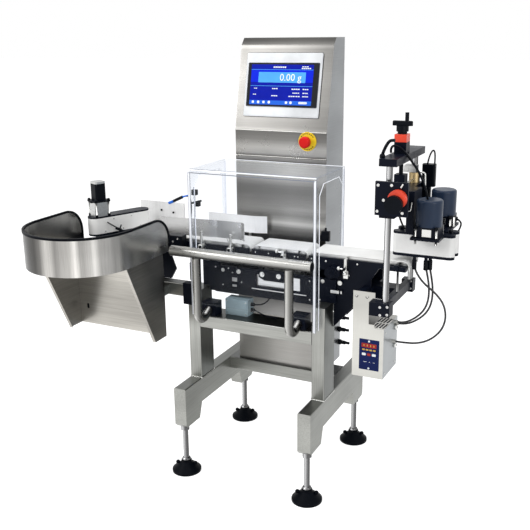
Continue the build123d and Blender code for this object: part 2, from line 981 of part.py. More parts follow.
with BuildPart() as support_beam:
    slab((support_beam_left, -post_outer), (support_beam_front, support_beam_back), (support_lobe_low, support_beam_top))
    fillet(support_beam.edges().filter_by(Axis.X), radius=tube_round)
    for x in chute_arm_xs:
        slab((x - chute_arm_width / 2, x + chute_arm_width / 2), (chute_back + guard_sheet, support_beam_front),
             (support_lobe_low + tube_round, support_lobe_low + tube_round + chute_arm_height))
finish(support_beam, "chute_support")

# Mast

with BuildPart() as mast_foot:
    slab(*front_block, (foot_low, foot_high))
    slab(*rear_block, (foot_low, foot_high))
    slab(foot_beam, (front_block[1][1], rear_block[1][0]), (foot_low + foot_beam_inset, foot_high))
    slab((spine_left, mast_lobe_right), (-plate_inner, plate_inner), (foot_low, foot_high))
    slab((mast_lobe_right, foot_beam[0]), (-spine_half_depth, spine_half_depth), (foot_low, foot_high))
finish(mast_foot, "mast_foot")

with BuildPart() as poles:
    for y in (front_pole_y, rear_pole_y):
        upright_rod(mast_x, y, pole_radius, (foot_high, bridge_low))
finish(poles, "mast_poles")

bridge_top = bridge_low + bridge_thickness

half_block = counter_block / 2
counter_low = bridge_top + counter_block_height
crank_low = counter_low + counter_height + soft_gap

with BuildPart() as bridge:
    slab((mast_x - bridge_half_width, mast_x + bridge_half_width), (bridge_front, bridge_back), (bridge_low, bridge_top))
    slab((mast_x - half_block, mast_x + half_block), (screw_y - half_block, screw_y + half_block), (bridge_top, counter_low))
    upright_rod(mast_x, screw_y, screw_radius + running_gap, (bridge_low, counter_low), mode=Mode.SUBTRACT)
finish(bridge, "mast_bridge")

with BuildPart() as counter:
    slab((mast_x - half_block, mast_x + half_block), (screw_y - half_block, screw_y + half_block),
         (counter_low, counter_low + counter_height))
    upright_rod(mast_x, screw_y, screw_radius + running_gap, (counter_low, counter_low + counter_height),
                mode=Mode.SUBTRACT)
finish(counter, "height_counter")

with BuildPart() as crank:
    upright_rod(mast_x, screw_y, screw_radius, (screw_low, crank_low))
    upright_rod(mast_x, screw_y, crank_neck_radius, (crank_low, crank_low + crank_neck_height))
    upright_rod(mast_x, screw_y, crank_hub_radius, (crank_low + crank_neck_height, crank_low + crank_hub_height))
    bar_low = crank_low + crank_hub_height
    bar_high = bar_low + crank_bar_thickness
    with BuildSketch(level(bar_low, mast_x, screw_y)):
        SlotOverall(crank_bar_length, crank_bar_width)
    extrude(amount=crank_bar_thickness)
    fillet(crank.edges().group_by(Axis.Z)[-1], radius=crank_bar_round)
    upright_rod(mast_x + knob_x, screw_y, knob_radius, (bar_high, bar_high + knob_height))
finish(crank, "lift_crank")

# Gripper carriage

carriage_side = mast_x + carriage_half_width
grip_top = grip_low + grip_low_plate + grip_belt_height + grip_top_plate

with BuildPart() as carriage:
    slab((mast_x - carriage_half_width, carriage_side), (carriage_front, carriage_back), (carriage_low, carriage_high))
    slab((mast_x - nut_block_width / 2, mast_x + nut_block_width / 2),
         (screw_y - nut_block_width / 2, screw_y + nut_block_width / 2), (carriage_high, nut_block_high))
    slab((face_left, face_right), (carriage_front - face_thickness, carriage_front), (face_low, face_high))
    slab((carriage_side, carriage_side + drop_arm_width), (drop_arm_front, drop_arm_back), (grip_top, carriage_high))
    upright_rod(mast_x, screw_y, screw_radius + running_gap, (carriage_low, nut_block_high), mode=Mode.SUBTRACT)
    for y in (front_pole_y, rear_pole_y):
        upright_rod(mast_x, y, pole_radius + running_gap, (carriage_low, carriage_high), mode=Mode.SUBTRACT)
finish(carriage, "grip_carriage")

with BuildPart() as bush:
    upright_rod(mast_x, rear_pole_y, bush_radius, (carriage_high, carriage_high + bush_height))
    upright_rod(mast_x, rear_pole_y, pole_radius + running_gap, (carriage_high, carriage_high + bush_height),
                mode=Mode.SUBTRACT)
finish(bush, "pole_bush")

with BuildPart() as canister:
    foot_part = (canister_foot_width, canister_low, canister_step)
    main_part = (canister_width, canister_step, canister_high)
    for width, low, high in (foot_part, main_part):
        slab((carriage_side, carriage_side + width), (carriage_back - canister_depth, carriage_back), (low, high))
    fillet(canister.edges().filter_by(Axis.Z), radius=canister_round)
finish(canister, "cable_canister")

face_front = carriage_front - face_thickness
indicator_front = face_front - indicator_length

with BuildPart() as indicator:
    cross_rod(wheel_x + indicator_shift[0], wheel_height + indicator_shift[1], indicator_radius,
              (indicator_front, face_front))
    cross_rod(wheel_x, wheel_height, wheel_shaft_radius + running_gap, (indicator_front, face_front), mode=Mode.SUBTRACT)
finish(indicator, "width_counter")

with BuildPart() as wheel:
    cross_rod(wheel_x, wheel_height, wheel_radius, (indicator_front - soft_gap - wheel_length, indicator_front - soft_gap))
    cross_rod(wheel_x, wheel_height, wheel_shaft_radius, (indicator_front - soft_gap, face_front - soft_gap))
finish(wheel, "width_wheel")

# Side gripper belts

grip_middle_x = (grip_left + grip_right) / 2
grip_offset = (grip_gap + grip_thickness) / 2
grip_belt_low = grip_low + grip_low_plate

core_inset = 2 * (grip_belt_thickness + running_gap)

with BuildPart() as grip_bodies:
    for side in (-1, 1):
        middle_y = side * grip_offset
        with BuildSketch(level(grip_low, grip_middle_x, middle_y), level(grip_top - grip_top_plate, grip_middle_x, middle_y)):
            SlotOverall(grip_right - grip_left, grip_thickness)
        extrude(amount=grip_top_plate)
        with BuildSketch(level(grip_low + grip_top_plate, grip_middle_x, middle_y)):
            SlotOverall(grip_right - grip_left, grip_thickness)
        extrude(amount=grip_low_plate - grip_top_plate)
        with BuildSketch(level(grip_low, grip_middle_x, middle_y)):
            SlotOverall(grip_right - grip_left - core_inset, grip_thickness - core_inset)
        extrude(amount=grip_top - grip_low)
    for y in motor_ys:
        outer = y + (gear_width / 2 + motor_plate_margin) * y / abs(y)
        across = sorted((motor_plate_inner * y / abs(y), outer))
        slab((motor_plate_left, motor_plate_right), across, (grip_top - grip_top_plate, grip_top))
    for x, y in cable_exits:
        upright_rod(x, y, gland_radius, (grip_low - gland_length, grip_low))
finish(grip_bodies, "grip_bodies")

with BuildPart() as grip_belts:
    for side in (-1, 1):
        with BuildSketch(level(grip_belt_low + running_gap, grip_middle_x, side * grip_offset)):
            SlotOverall(grip_right - grip_left, grip_thickness)
            SlotOverall(grip_right - grip_left - 2 * grip_belt_thickness, grip_thickness - 2 * grip_belt_thickness,
                        mode=Mode.SUBTRACT)
        extrude(amount=grip_belt_height - 2 * running_gap)
finish(grip_belts, "grip_belts")

gear_high = grip_top + gear_height

with BuildPart() as gears:
    for y in motor_ys:
        slab((motor_x - gear_width / 2, motor_x + gear_width / 2), (y - gear_width / 2, y + gear_width / 2),
             (grip_top, gear_high))
finish(gears, "motor_gearboxes")

with BuildPart() as motors:
    for y in motor_ys:
        upright_rod(motor_x, y, motor_radius, (gear_high, gear_high + motor_height))
    fillet(motors.edges().filter_by(GeomType.CIRCLE).group_by(Axis.Z)[-1], radius=motor_round)
finish(motors, "grip_motors")

# Speed controller

with BuildPart() as controller:
    slab((controller_left, controller_right), (controller_front, controller_back), (controller_low, controller_high))
    with BuildSketch(front_view(controller_front + controller_sheet)):
        with BuildLine():
            Polyline(
                (controller_left, controller_high),
                (controller_left, tab_high),
                (tab_right, tab_high),
                (tab_right, tab_neck_high + tab_right - tab_neck_right),
                (tab_neck_right, tab_neck_high),
                (tab_neck_right, tab_neck_low),
                (tab_right, tab_neck_low),
                (tab_right, controller_high),
                close=True,
            )
        make_face()
    extrude(amount=controller_sheet)
    for y, z in cable_entries:
        with BuildSketch(end_view(controller_right, y, z)):
            Circle(gland_radius)
        extrude(amount=gland_length)
finish(controller, "speed_controller")

# Cables

arc_share = 0.45


def bend_radii(points):
    """Largest arc at each corner of a route that leaves a straight stretch in both its runs."""
    radii = []
    for before, corner, after in zip(points, points[1:], points[2:]):
        half_turn = radians((corner - before).get_angle(after - corner) / 2)
        radii.append(arc_share * min((corner - before).length, (after - corner).length) / tan(half_turn))
    return radii


for name, exit_place, points, entry_place in (
    ("cable_loop", cable_exits[0], loop_points, cable_entries[0]),
    ("cable_near", cable_exits[1], near_pair_points, cable_entries[1]),
    ("cable_far", cable_exits[2], far_pair_points, cable_entries[2]),
):
    route = [Vector(*exit_place, grip_low - gland_length)]
    route += [Vector(*point) for point in points]
    route += [Vector(controller_right + gland_length, *entry_place)]
    route = [point + Vector(site_x, site_y, 0) for point in route]
    radii = bend_radii(route)
    with BuildPart() as cable:
        with BuildLine():
            path = FilletPolyline(*route, radius=radii)
        with BuildSketch(Plane(origin=path @ 0, z_dir=path % 0)):
            Circle(cable_radius)
        sweep(path=path)
    swept_share = cable.part.volume / (pi * cable_radius**2 * path.length)
    print(name, "length", round(path.length, 1), "radii", [round(r) for r in radii])
    print(name, "volume over section times length", round(swept_share, 4))
    finish(cable, name)
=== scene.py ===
"""Looks of the checkweigher: materials, cords, fasteners, screen, lights and camera."""

from math import cos, pi, radians, sin

import bmesh
import bpy
from mathutils import Euler, Matrix, Vector


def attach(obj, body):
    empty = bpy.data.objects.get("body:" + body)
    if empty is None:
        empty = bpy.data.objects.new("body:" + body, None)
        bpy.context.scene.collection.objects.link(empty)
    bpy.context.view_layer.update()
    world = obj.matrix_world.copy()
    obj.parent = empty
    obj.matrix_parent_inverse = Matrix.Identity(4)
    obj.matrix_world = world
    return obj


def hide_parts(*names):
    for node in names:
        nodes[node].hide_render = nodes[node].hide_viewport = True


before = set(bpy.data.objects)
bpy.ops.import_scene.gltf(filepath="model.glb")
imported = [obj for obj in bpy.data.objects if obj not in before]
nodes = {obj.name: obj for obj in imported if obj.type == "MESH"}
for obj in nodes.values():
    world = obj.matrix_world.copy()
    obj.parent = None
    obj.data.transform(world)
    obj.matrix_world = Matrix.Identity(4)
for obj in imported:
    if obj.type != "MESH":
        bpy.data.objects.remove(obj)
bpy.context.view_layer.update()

MM = 1000
SITE = Vector((0.01175, 0.17525, 0.0))


def at(x, y, z):
    """A place in the row frame, in metres, from millimetres about the middle of the stand."""
    return Vector((x, y, z)) / MM + SITE


# Camera

AZIMUTH, PITCH, ROLL = radians(25.855), radians(16.083), radians(-0.6)
side0 = Vector((cos(AZIMUTH), sin(AZIMUTH), 0))
back = Vector((sin(AZIMUTH) * cos(PITCH), -cos(AZIMUTH) * cos(PITCH), sin(PITCH)))
up0 = back.cross(side0)
side = cos(ROLL) * side0 + sin(ROLL) * up0
up = -sin(ROLL) * side0 + cos(ROLL) * up0
camera_data = bpy.data.cameras.new("camera")
camera_data.lens = 54.71
camera_data.sensor_width = 36
camera_data.clip_end = 60
camera = bpy.data.objects.new("camera", camera_data)
place = at(1249.0, -2632.3, 1632.7)
camera.matrix_world = Matrix((
    (side.x, up.x, back.x, place.x),
    (side.y, up.y, back.y, place.y),
    (side.z, up.z, back.z, place.z),
    (0, 0, 0, 1),
))
bpy.context.scene.collection.objects.link(camera)
bpy.context.scene.camera = camera


# Materials

class Shader:
    """A material with a Principled node and short calls that add noise to it."""

    def __init__(self, name, color, roughness, metallic=0.0, **sockets):
        self.mat = bpy.data.materials.new(name)
        self.mat.use_nodes = True
        self.tree = self.mat.node_tree
        self.bsdf = self.tree.nodes["Principled BSDF"]
        self.color = color
        self.bsdf.inputs["Base Color"].default_value = (*color, 1)
        self.bsdf.inputs["Roughness"].default_value = roughness
        self.bsdf.inputs["Metallic"].default_value = metallic
        for key, value in sockets.items():
            self.bsdf.inputs[key.replace("_", " ")].default_value = value
        self.height = None

    def node(self, kind, **values):
        n = self.tree.nodes.new(kind)
        for key, value in values.items():
            setattr(n, key, value)
        return n

    def link(self, a, b):
        self.tree.links.new(a, b)

    def coords(self, scale=(1, 1, 1), turn=(0, 0, 0)):
        where = self.node("ShaderNodeTexCoord")
        mapping = self.node("ShaderNodeMapping")
        mapping.inputs["Scale"].default_value = scale
        mapping.inputs["Rotation"].default_value = turn
        self.link(where.outputs["Object"], mapping.inputs["Vector"])
        return mapping.outputs["Vector"]

    def noise(self, scale, detail=3.0, stretch=(1, 1, 1), turn=(0, 0, 0), rough=0.5):
        n = self.node("ShaderNodeTexNoise")
        n.inputs["Scale"].default_value = scale
        n.inputs["Detail"].default_value = detail
        n.inputs["Roughness"].default_value = rough
        self.link(self.coords(stretch, turn), n.inputs["Vector"])
        return n.outputs["Fac"]

    def ramp(self, value, low, high, start=0.3, end=0.7):
        r = self.node("ShaderNodeMapRange")
        r.inputs["From Min"].default_value = start
        r.inputs["From Max"].default_value = end
        r.inputs["To Min"].default_value = low
        r.inputs["To Max"].default_value = high
        self.link(value, r.inputs["Value"])
        return r.outputs["Result"]

    def tint(self, value, dark, light, start=0.3, end=0.7):
        r = self.node("ShaderNodeValToRGB")
        r.color_ramp.elements[0].position = start
        r.color_ramp.elements[0].color = (*[c * dark for c in self.color], 1)
        r.color_ramp.elements[1].position = end
        r.color_ramp.elements[1].color = (*[min(c * light, 1) for c in self.color], 1)
        self.link(value, r.inputs["Fac"])
        self.link(r.outputs["Color"], self.bsdf.inputs["Base Color"])

    def math(self, operation, a, b=None):
        n = self.node("ShaderNodeMath", operation=operation)
        for place, value in enumerate((a, b)):
            if value is None:
                continue
            if isinstance(value, float):
                n.inputs[place].default_value = value
            else:
                self.link(value, n.inputs[place])
        return n.outputs["Value"]

    def scale_color(self, color, factor):
        n = self.node("ShaderNodeVectorMath", operation="SCALE")
        self.link(color, n.inputs[0])
        self.link(factor, n.inputs["Scale"])
        return n.outputs["Vector"]

    def shade(self, color, times, amount):
        """The colour, turning to the colour times three factors where amount is 1."""
        full = self.node("ShaderNodeVectorMath", operation="MULTIPLY")
        self.link(color, full.inputs[0])
        full.inputs[1].default_value = times
        mix = self.node("ShaderNodeMix", data_type="RGBA")
        self.link(amount, mix.inputs[0])
        self.link(color, mix.inputs[6])
        self.link(full.outputs["Vector"], mix.inputs[7])
        return mix.outputs[2]

    def stops(self, value, points):
        """A factor that follows (place, factor) pairs along a value; factors go up to 2."""
        low, high = points[0][0], points[-1][0]
        r = self.node("ShaderNodeValToRGB")
        elements = r.color_ramp.elements
        while len(elements) < len(points):
            elements.new(0.5)
        for element, (place, factor) in zip(elements, points):
            element.position = (place - low) / (high - low)
        for element, (place, factor) in zip(elements, points):
            element.color = (factor / 2, factor / 2, factor / 2, 1)
        self.link(self.ramp(value, 0.0, 1.0, low, high), r.inputs["Fac"])
        return self.math("MULTIPLY", r.outputs["Color"], 2.0)

    def split(self, output):
        """X, Y and Z of the object coordinates or of the surface direction."""
        where = self.node("ShaderNodeTexCoord")
        parts = self.node("ShaderNodeSeparateXYZ")
        self.link(where.outputs[output], parts.inputs["Vector"])
        return parts.outputs

    def rough(self, value, low, high, start=0.3, end=0.7):
        self.link(self.ramp(value, low, high, start, end), self.bsdf.inputs["Roughness"])

    def bump(self, value, strength, distance):
        b = self.node("ShaderNodeBump")
        b.inputs["Strength"].default_value = strength
        b.inputs["Distance"].default_value = distance
        self.link(value, b.inputs["Height"])
        if self.height is not None:
            self.link(self.height, b.inputs["Normal"])
        self.height = b.outputs["Normal"]
        self.link(self.height, self.bsdf.inputs["Normal"])


def brushed(name, color, roughness, grain, streak=260.0, dark=0.84, light=1.10, sides=(0.62, 0.66, 0.70),
            tops=(0.80, 0.80, 0.80), bands=0.0, levels=None, run=None, depths=None, relief=0.05):
    """Metal with fine brush lines along the axis where grain is 0; the sides and tops factors are painted shade on
    faces turned along x and on upward faces.

    levels: (z, factor) pairs in metres for the front and back faces, bands of painted reflection and painted shade;
    run and depths: the same along x and y, on all faces, where run is painted reflection and shade too; depths also
    ends the metal at y 0.2, where white plastic starts.
    """
    m = Shader(name, color, roughness, 1.0)
    lines = m.noise(streak, 4.0, grain, rough=0.65)
    m.tint(lines, dark, light)
    tone = m.bsdf.inputs["Base Color"].links[0].from_socket
    patches_and_painted_light = m.ramp(m.noise(2.6, 3.0, (0.6, 0.6, 1.6)), 0.80, 1.16, 0.35, 0.68)
    if bands:
        patches_and_painted_light = m.math("MULTIPLY", patches_and_painted_light, m.ramp(m.noise(1.0, 2.5, (0.02, 0.02, bands)), 0.72, 1.22, 0.36, 0.66))
    facing = m.split("Normal")
    across = m.math("POWER", m.math("ABSOLUTE", facing["X"]), 3.0)
    # Painted reflection and painted shade: tone bands up the height (levels) and along x (run), on top of random
    # patches
    if levels:
        step = m.math("SUBTRACT", m.stops(m.split("Object")["Z"], levels), 1.0)
        step = m.math("MULTIPLY", step, m.math("SUBTRACT", 1.0, across))
        patches_and_painted_light = m.math("MULTIPLY", patches_and_painted_light, m.math("ADD", step, 1.0))
    if run:
        patches_and_painted_light = m.math("MULTIPLY", patches_and_painted_light, m.stops(m.split("Object")["X"], run))
    if depths:
        patches_and_painted_light = m.math("MULTIPLY", patches_and_painted_light, m.stops(m.split("Object")["Y"], depths))
        metal = m.stops(m.split("Object")["Y"], ((0.0, 1), (0.19, 1), (0.20, 0), (0.3, 0)))
        m.link(metal, m.bsdf.inputs["Metallic"])
    tone = m.scale_color(tone, patches_and_painted_light)
    # Painted shade: faces turned along x take the sides factors, upward faces the tops factors
    tone = m.shade(tone, sides, across)
    upward = m.math("MAXIMUM", facing["Z"], 0.0)
    tone = m.shade(tone, tops, m.math("POWER", upward, 3.0))
    m.link(tone, m.bsdf.inputs["Base Color"])
    m.rough(m.noise(5.0, 4.0), roughness * 0.85, roughness * 1.2)
    m.bump(lines, relief, 0.0003)
    return m.mat


LENGTHWAYS, UPRIGHT, ACROSS = (0.02, 1, 1), (1, 1, 0.02), (1, 0.02, 1)
LEVEL = (0.02, 0.02, 1)
STEEL = (0.335, 0.338, 0.318)

# sides and tops below: painted shade on faces turned along x and on upward faces
steel_up = brushed("steel_upright_grain", STEEL, 0.34, UPRIGHT, sides=(0.40, 0.42, 0.42), bands=1.6)
# Painted reflections and painted shade in bands up the column: (z in metres, factor)
COLUMN_PAINTED_LIGHT = (
    (0.44, 1.0), (0.60, 0.62), (0.80, 0.5), (0.868, 0.28), (0.90, 0.34), (0.918, 0.7), (0.935, 1.75),
    (0.947, 1.2), (0.965, 0.85),
    (0.99, 1.15), (1.02, 0.85), (1.05, 0.62), (1.075, 0.66), (1.10, 1.15), (1.155, 1.4), (1.163, 1.6), (1.166, 0.4),
    (1.18, 1.0), (1.188, 0.5), (1.198, 1.35), (1.22, 1.55), (1.25, 0.75),
    (1.283, 0.50), (1.286, 0.75), (1.296, 0.52), (1.36, 0.45), (1.50, 0.46), (1.575, 0.38),
    (1.583, 0.55), (1.592, 0.30), (1.604, 0.15), (1.63, 0.10),
)
# Painted shade along x across the column, darker towards both sides
COLUMN_PAINTED_SHADE = ((-0.20, 0.8), (-0.182, 0.92), (-0.172, 0.85), (-0.160, 0.85), (-0.14, 0.9), (0.05, 0.95),
              (0.165, 0.75), (0.20, 0.72))
steel_column = brushed("steel_column_sheet", (0.42, 0.41, 0.39), 0.30, LEVEL, sides=(0.84, 0.90, 0.98), dark=0.93,
                       light=1.05, levels=COLUMN_PAINTED_LIGHT, run=COLUMN_PAINTED_SHADE, relief=0.008)
# Painted reflections and painted shade along x on the curved guard band
GUARD_PAINTED_REFLECTIONS = (
    (-0.702, 0.60), (-0.680, 0.55), (-0.664, 0.30), (-0.650, 0.15), (-0.600, 0.13), (-0.550, 0.15), (-0.525, 0.32),
    (-0.500, 1.00), (-0.480, 0.88), (-0.462, 0.48), (-0.446, 0.72), (-0.430, 0.80), (-0.415, 0.91), (-0.400, 1.60),
    (-0.387, 0.72), (-0.375, 0.74), (-0.363, 0.91), (-0.352, 1.25), (-0.341, 0.66), (-0.331, 0.62), (-0.3235, 0.68),
    (-0.3155, 0.50), (-0.310, 0.75), (-0.306, 1.05), (-0.300, 1.05),
)
steel_along = brushed("steel_lengthways_grain", STEEL, 0.32, LENGTHWAYS, tops=(0.32, 0.33, 0.34))
steel_across = brushed("steel_crossways_grain", STEEL, 0.34, ACROSS, sides=(0.62, 0.63, 0.62),
                       tops=(0.55, 0.56, 0.56))
steel_band = brushed("steel_guard_sheet", (0.52, 0.505, 0.48), 0.26, UPRIGHT, sides=(0.8, 0.82, 0.84), run=GUARD_PAINTED_REFLECTIONS)
steel_chute = brushed("steel_chute_sheet", (0.50, 0.48, 0.44), 0.30, LEVEL, sides=(0.50, 0.51, 0.52), bands=2.2)
guide_sheet = brushed("guide_sheet", (0.62, 0.62, 0.62), 0.28, UPRIGHT, dark=0.95, light=1.04,
                      sides=(0.9, 0.9, 0.9), depths=((0.0, 1.1), (0.19, 1.1), (0.20, 1.45), (0.3, 1.45)))
steel_warm = brushed("steel_controller_case", (0.50, 0.495, 0.465), 0.36, UPRIGHT, 420.0, 0.97, 1.02,
                     sides=(0.60, 0.64, 0.70))
aluminium = brushed("machined_aluminium", (0.62, 0.62, 0.61), 0.32, LENGTHWAYS, streak=180.0)


def paint(name, color, roughness, grain=900.0, depth=0.25, spec=0.5, coat=0.0):
    """Powder coat or moulded skin with a fine orange-peel surface and a little wear."""
    m = Shader(name, color, roughness, 0.0, Specular_IOR_Level=spec, Coat_Weight=coat)
    skin = m.noise(grain, 2.0)
    m.tint(m.noise(9.0, 5.0), 0.85, 1.2)
    m.rough(m.noise(14.0, 4.0), roughness * 0.85, roughness * 1.2)
    m.bump(skin, depth, 0.0003)
    return m.mat


navy_plate = paint("dark_anodised_plate", (0.0028, 0.0045, 0.0105), 0.38, 900.0, 0.15, 0.09)
black_mould = paint("black_moulded_plastic", (0.0015, 0.0025, 0.005), 0.36, 600.0, 0.2, 0.09)
black_rubber = paint("black_rubber", (0.0012, 0.002, 0.004), 0.42, 1200.0, 0.2, 0.05)
box_grey = paint("grey_box_plastic", (0.36, 0.47, 0.51), 0.45, 500.0, 0.2, 0.3)
motor_blue = paint("motor_slate_paint", (0.016, 0.030, 0.062), 0.34, 700.0, 0.2, 0.2, 0.05)
orange = paint("orange_counter_plastic", (0.75, 0.06, 0.025), 0.35, 700.0)
yellow = paint("yellow_switch_plastic", (0.90, 0.62, 0.02), 0.35, 700.0)
red = paint("red_switch_plastic", (0.60, 0.008, 0.007), 0.32, 700.0, 0.2, 0.15, 0.1)
# White paint for the painted highlight on the speed controller's top
glare_white = paint("white_plastic", (0.80, 0.79, 0.75), 0.4, 600.0)
bezel_grey = paint("screen_frame_grey", (0.66, 0.68, 0.70), 0.35, 700.0)


def chrome_finish(name, color, roughness):
    m = Shader(name, color, roughness, 1.0)
    m.rough(m.noise(40.0, 5.0), roughness * 0.7, roughness * 1.8)
    m.bump(m.noise(300.0, 2.0), 0.03, 0.0002)
    return m.mat


# Painted highlight and painted shade around tubes: (share of the radius, factor) up a level rail and across upright
# tubes
TUBE_PAINTED_RISE = ((-1, 0.3), (-0.75, 0.16), (-0.5, 0.25), (-0.25, 0.8), (-0.05, 1.0), (0.15, 1.7), (0.36, 0.9),
             (0.6, 0.7), (0.82, 0.9), (1, 1.2))
TUBE_PAINTED_TURN = ((-1, 0.55), (-0.75, 0.7), (-0.35, 1.7), (0.0, 1.25), (0.35, 0.75), (0.7, 0.3), (1, 0.35))


def around(middle, radius, tones):
    """Tone stops about the middle of a tube, from its radius."""
    return tuple((middle + radius * share, factor) for share, factor in tones)


def tube_finish(name, color, roughness, uprights, rail=None):
    """Polished tube whose tone changes around it: a painted highlight line and painted shade at its edges.

    uprights: (x, radius) of upright tubes; rail: (z, radius) of a level tube along x.
    """
    m = Shader(name, color, roughness, 1.0)
    m.tint(m.noise(60.0, 3.0, (0.1, 0.1, 0.1)), 0.94, 1.04)
    tone = m.bsdf.inputs["Base Color"].links[0].from_socket
    place = m.split("Object")
    stops = [stop for x, radius in uprights for stop in around(x, radius, TUBE_PAINTED_TURN)]
    factor = m.stops(place["X"], stops)
    if rail:
        height, radius = rail
        below = m.ramp(place["Z"], 1.0, 0.0, height - radius * 1.05, height - radius)
        factor = m.math("ADD", m.math("MULTIPLY", m.math("SUBTRACT", factor, 1.0), below), 1.0)
        factor = m.math("MULTIPLY", factor, m.stops(place["Z"], ((0.4, 1.0), (height - radius * 1.02, 1.0),
                                                                *around(height, radius, TUBE_PAINTED_RISE))))
    m.link(m.scale_color(tone, factor), m.bsdf.inputs["Base Color"])
    m.rough(m.noise(40.0, 5.0), roughness * 0.8, roughness * 1.5)
    m.bump(m.noise(300.0, 2.0), 0.02, 0.0002)
    return m.mat


rail_steel = tube_finish("hand_rail_steel", (0.31, 0.308, 0.295), 0.26, ((-0.17825, 0.016), (0.18675, 0.016)),
                         (0.875, 0.019))
pole_chrome = tube_finish("pole_chrome", (0.44, 0.44, 0.445), 0.18, ((0.51675, 0.0105),))
stem_chrome = tube_finish("stem_chrome", (0.30, 0.30, 0.305), 0.2, ((-0.24125, 0.0105), (0.26475, 0.0105)))
chrome = chrome_finish("bright_chrome", (0.34, 0.34, 0.345), 0.16)
zinc = chrome_finish("zinc_screw", (0.66, 0.66, 0.64), 0.24)
brass = chrome_finish("brass", (0.50, 0.38, 0.20), 0.3)


def belting(name, color, roughness):
    """Coated fabric belt: a fine woven grid under a soft coat."""
    m = Shader(name, color, roughness, 0.0, Specular_IOR_Level=0.35, Sheen_Weight=0.1)
    wave_a = m.node("ShaderNodeTexWave", bands_direction="X")
    wave_a.inputs["Scale"].default_value = 260.0
    m.link(m.coords(), wave_a.inputs["Vector"])
    wave_b = m.node("ShaderNodeTexWave", bands_direction="Y")
    wave_b.inputs["Scale"].default_value = 260.0
    m.link(m.coords(), wave_b.inputs["Vector"])
    weave = m.node("ShaderNodeMath", operation="MULTIPLY")
    m.link(wave_a.outputs["Fac"], weave.inputs[0])
    m.link(wave_b.outputs["Fac"], weave.inputs[1])
    m.tint(m.noise(11.0, 5.0), 0.93, 1.04)
    m.rough(m.noise(20.0, 3.0), roughness * 0.85, roughness * 1.15)
    m.bump(weave.outputs["Value"], 0.25, 0.0003)
    return m.mat


belt_white = belting("white_belt", (0.90, 0.90, 0.88), 0.55)
grip_white = belting("gripper_belt", (0.90, 0.90, 0.89), 0.6)


def clear_sheet(name, tint, cover):
    """Clear acrylic: mostly see-through, with a gloss that grows at flat angles and faint wipe marks."""
    m = Shader(name, tint, 0.06, 0.0, Specular_IOR_Level=0.6)
    haze = m.noise(6.0, 4.0, (1, 1, 0.4))
    m.rough(haze, 0.04, 0.10)
    m.bump(m.noise(3.0, 1.0), 0.04, 0.002)
    fresnel = m.node("ShaderNodeFresnel")
    fresnel.inputs["IOR"].default_value = 1.49
    grow = m.node("ShaderNodeMath", operation="MULTIPLY_ADD")
    grow.inputs[1].default_value = 0.10
    grow.inputs[2].default_value = cover
    m.link(fresnel.outputs["Fac"], grow.inputs[0])
    see = m.node("ShaderNodeBsdfTransparent")
    see.inputs["Color"].default_value = (0.965, 0.972, 0.985, 1)
    mix = m.node("ShaderNodeMixShader")
    m.link(grow.outputs["Value"], mix.inputs["Fac"])
    m.link(see.outputs["BSDF"], mix.inputs[1])
    m.link(m.bsdf.outputs["BSDF"], mix.inputs[2])
    m.link(mix.outputs["Shader"], m.tree.nodes["Material Output"].inputs["Surface"])
    return m.mat


acrylic = clear_sheet("clear_acrylic", (0.80, 0.84, 0.86), 0.006)


def glow(name, color, strength):
    """Lit screen surface, or a painted highlight that glows, keeping its colour without a gloss."""
    m = Shader(name, color, 0.5, 0.0, Specular_IOR_Level=0.05, Emission_Strength=strength)
    m.bsdf.inputs["Emission Color"].default_value = (*color, 1)
    m.tint(m.noise(30.0, 2.0), 0.94, 1.04)
    m.rough(m.noise(50.0, 2.0), 0.45, 0.6)
    return m.mat


def screen_glass():
    m = Shader("screen_glass", (0.02, 0.03, 0.06), 0.12, 0.0, Coat_Weight=0.6)
    m.rough(m.noise(8.0, 3.0), 0.08, 0.16)
    return m.mat


def dress(material, *names):
    for name in names:
        slots = nodes[name].material_slots
        for slot in slots:
            slot.material = material


dress(steel_across, "base_beams")
dress(steel_up, "posts")
dress(steel_column, "column_cabinet")
dress(steel_along, "cross_members", "chute_support")
dress(steel_chute, "chute_box")
dress(steel_band, "guard_band")
dress(steel_warm, "speed_controller")
dress(guide_sheet, "product_guides")
dress(navy_plate, "weigh_frame", "infeed_frame", "outfeed_frame", "weigh_base", "conveyor_brackets", "stand_clamps",
      "sorting_arm_body", "mast_foot", "mast_bridge", "grip_carriage", "grip_bodies",
      "motor_gearboxes")
dress(zinc, "guide_brackets")
dress(rail_steel, "hand_rail")
dress(pole_chrome, "mast_poles")
dress(stem_chrome, "foot_stems")
dress(brass, "pole_bush")
dress(black_rubber, "foot_pads", "guard_trim", "cable_canister")
dress(black_mould, "lift_crank", "sorting_arm_motor", "width_wheel")
dress(bezel_grey, "screen_bezel")
dress(aluminium, "belt_rollers", "belt_beds", "weighing_cell", "sorting_arm_castings")
dress(belt_white, "conveyor_belts")
dress(grip_white, "sorting_arm_belt", "grip_belts")
dress(box_grey, "junction_box")
dress(motor_blue, "grip_motors")
dress(orange, "height_counter", "width_counter")
dress(yellow, "stop_button_plate")
dress(red, "stop_button")
dress(acrylic, "cover_ends", "cover_sheet")
dress(screen_glass(), "touch_screen")


# Cords

LOOP = ((556, -34, 886), (556, -34, 860), (570, -37, 832), (596, -40, 804), (633, -40, 779), (666, -40, 742),
        (676, -40, 692), (662, -40, 645), (626, -40, 606), (582, -42, 586), (532, -44, 582), (504, -44, 582))
NEAR = ((595, -31, 886), (595, -31, 862), (603, -30, 830), (610, -29, 790), (609, -28, 744), (596, -27, 706),
        (568, -25, 674), (528, -24, 648), (504, -24, 648))
FAR = ((607, -21, 886), (607, -21, 858), (614, -20, 826), (620, -18, 786), (619, -16, 738), (605, -14, 698),
       (574, -11, 664), (530, -10, 638), (504, -10, 638))
CABLE_WIDTH = 0.007


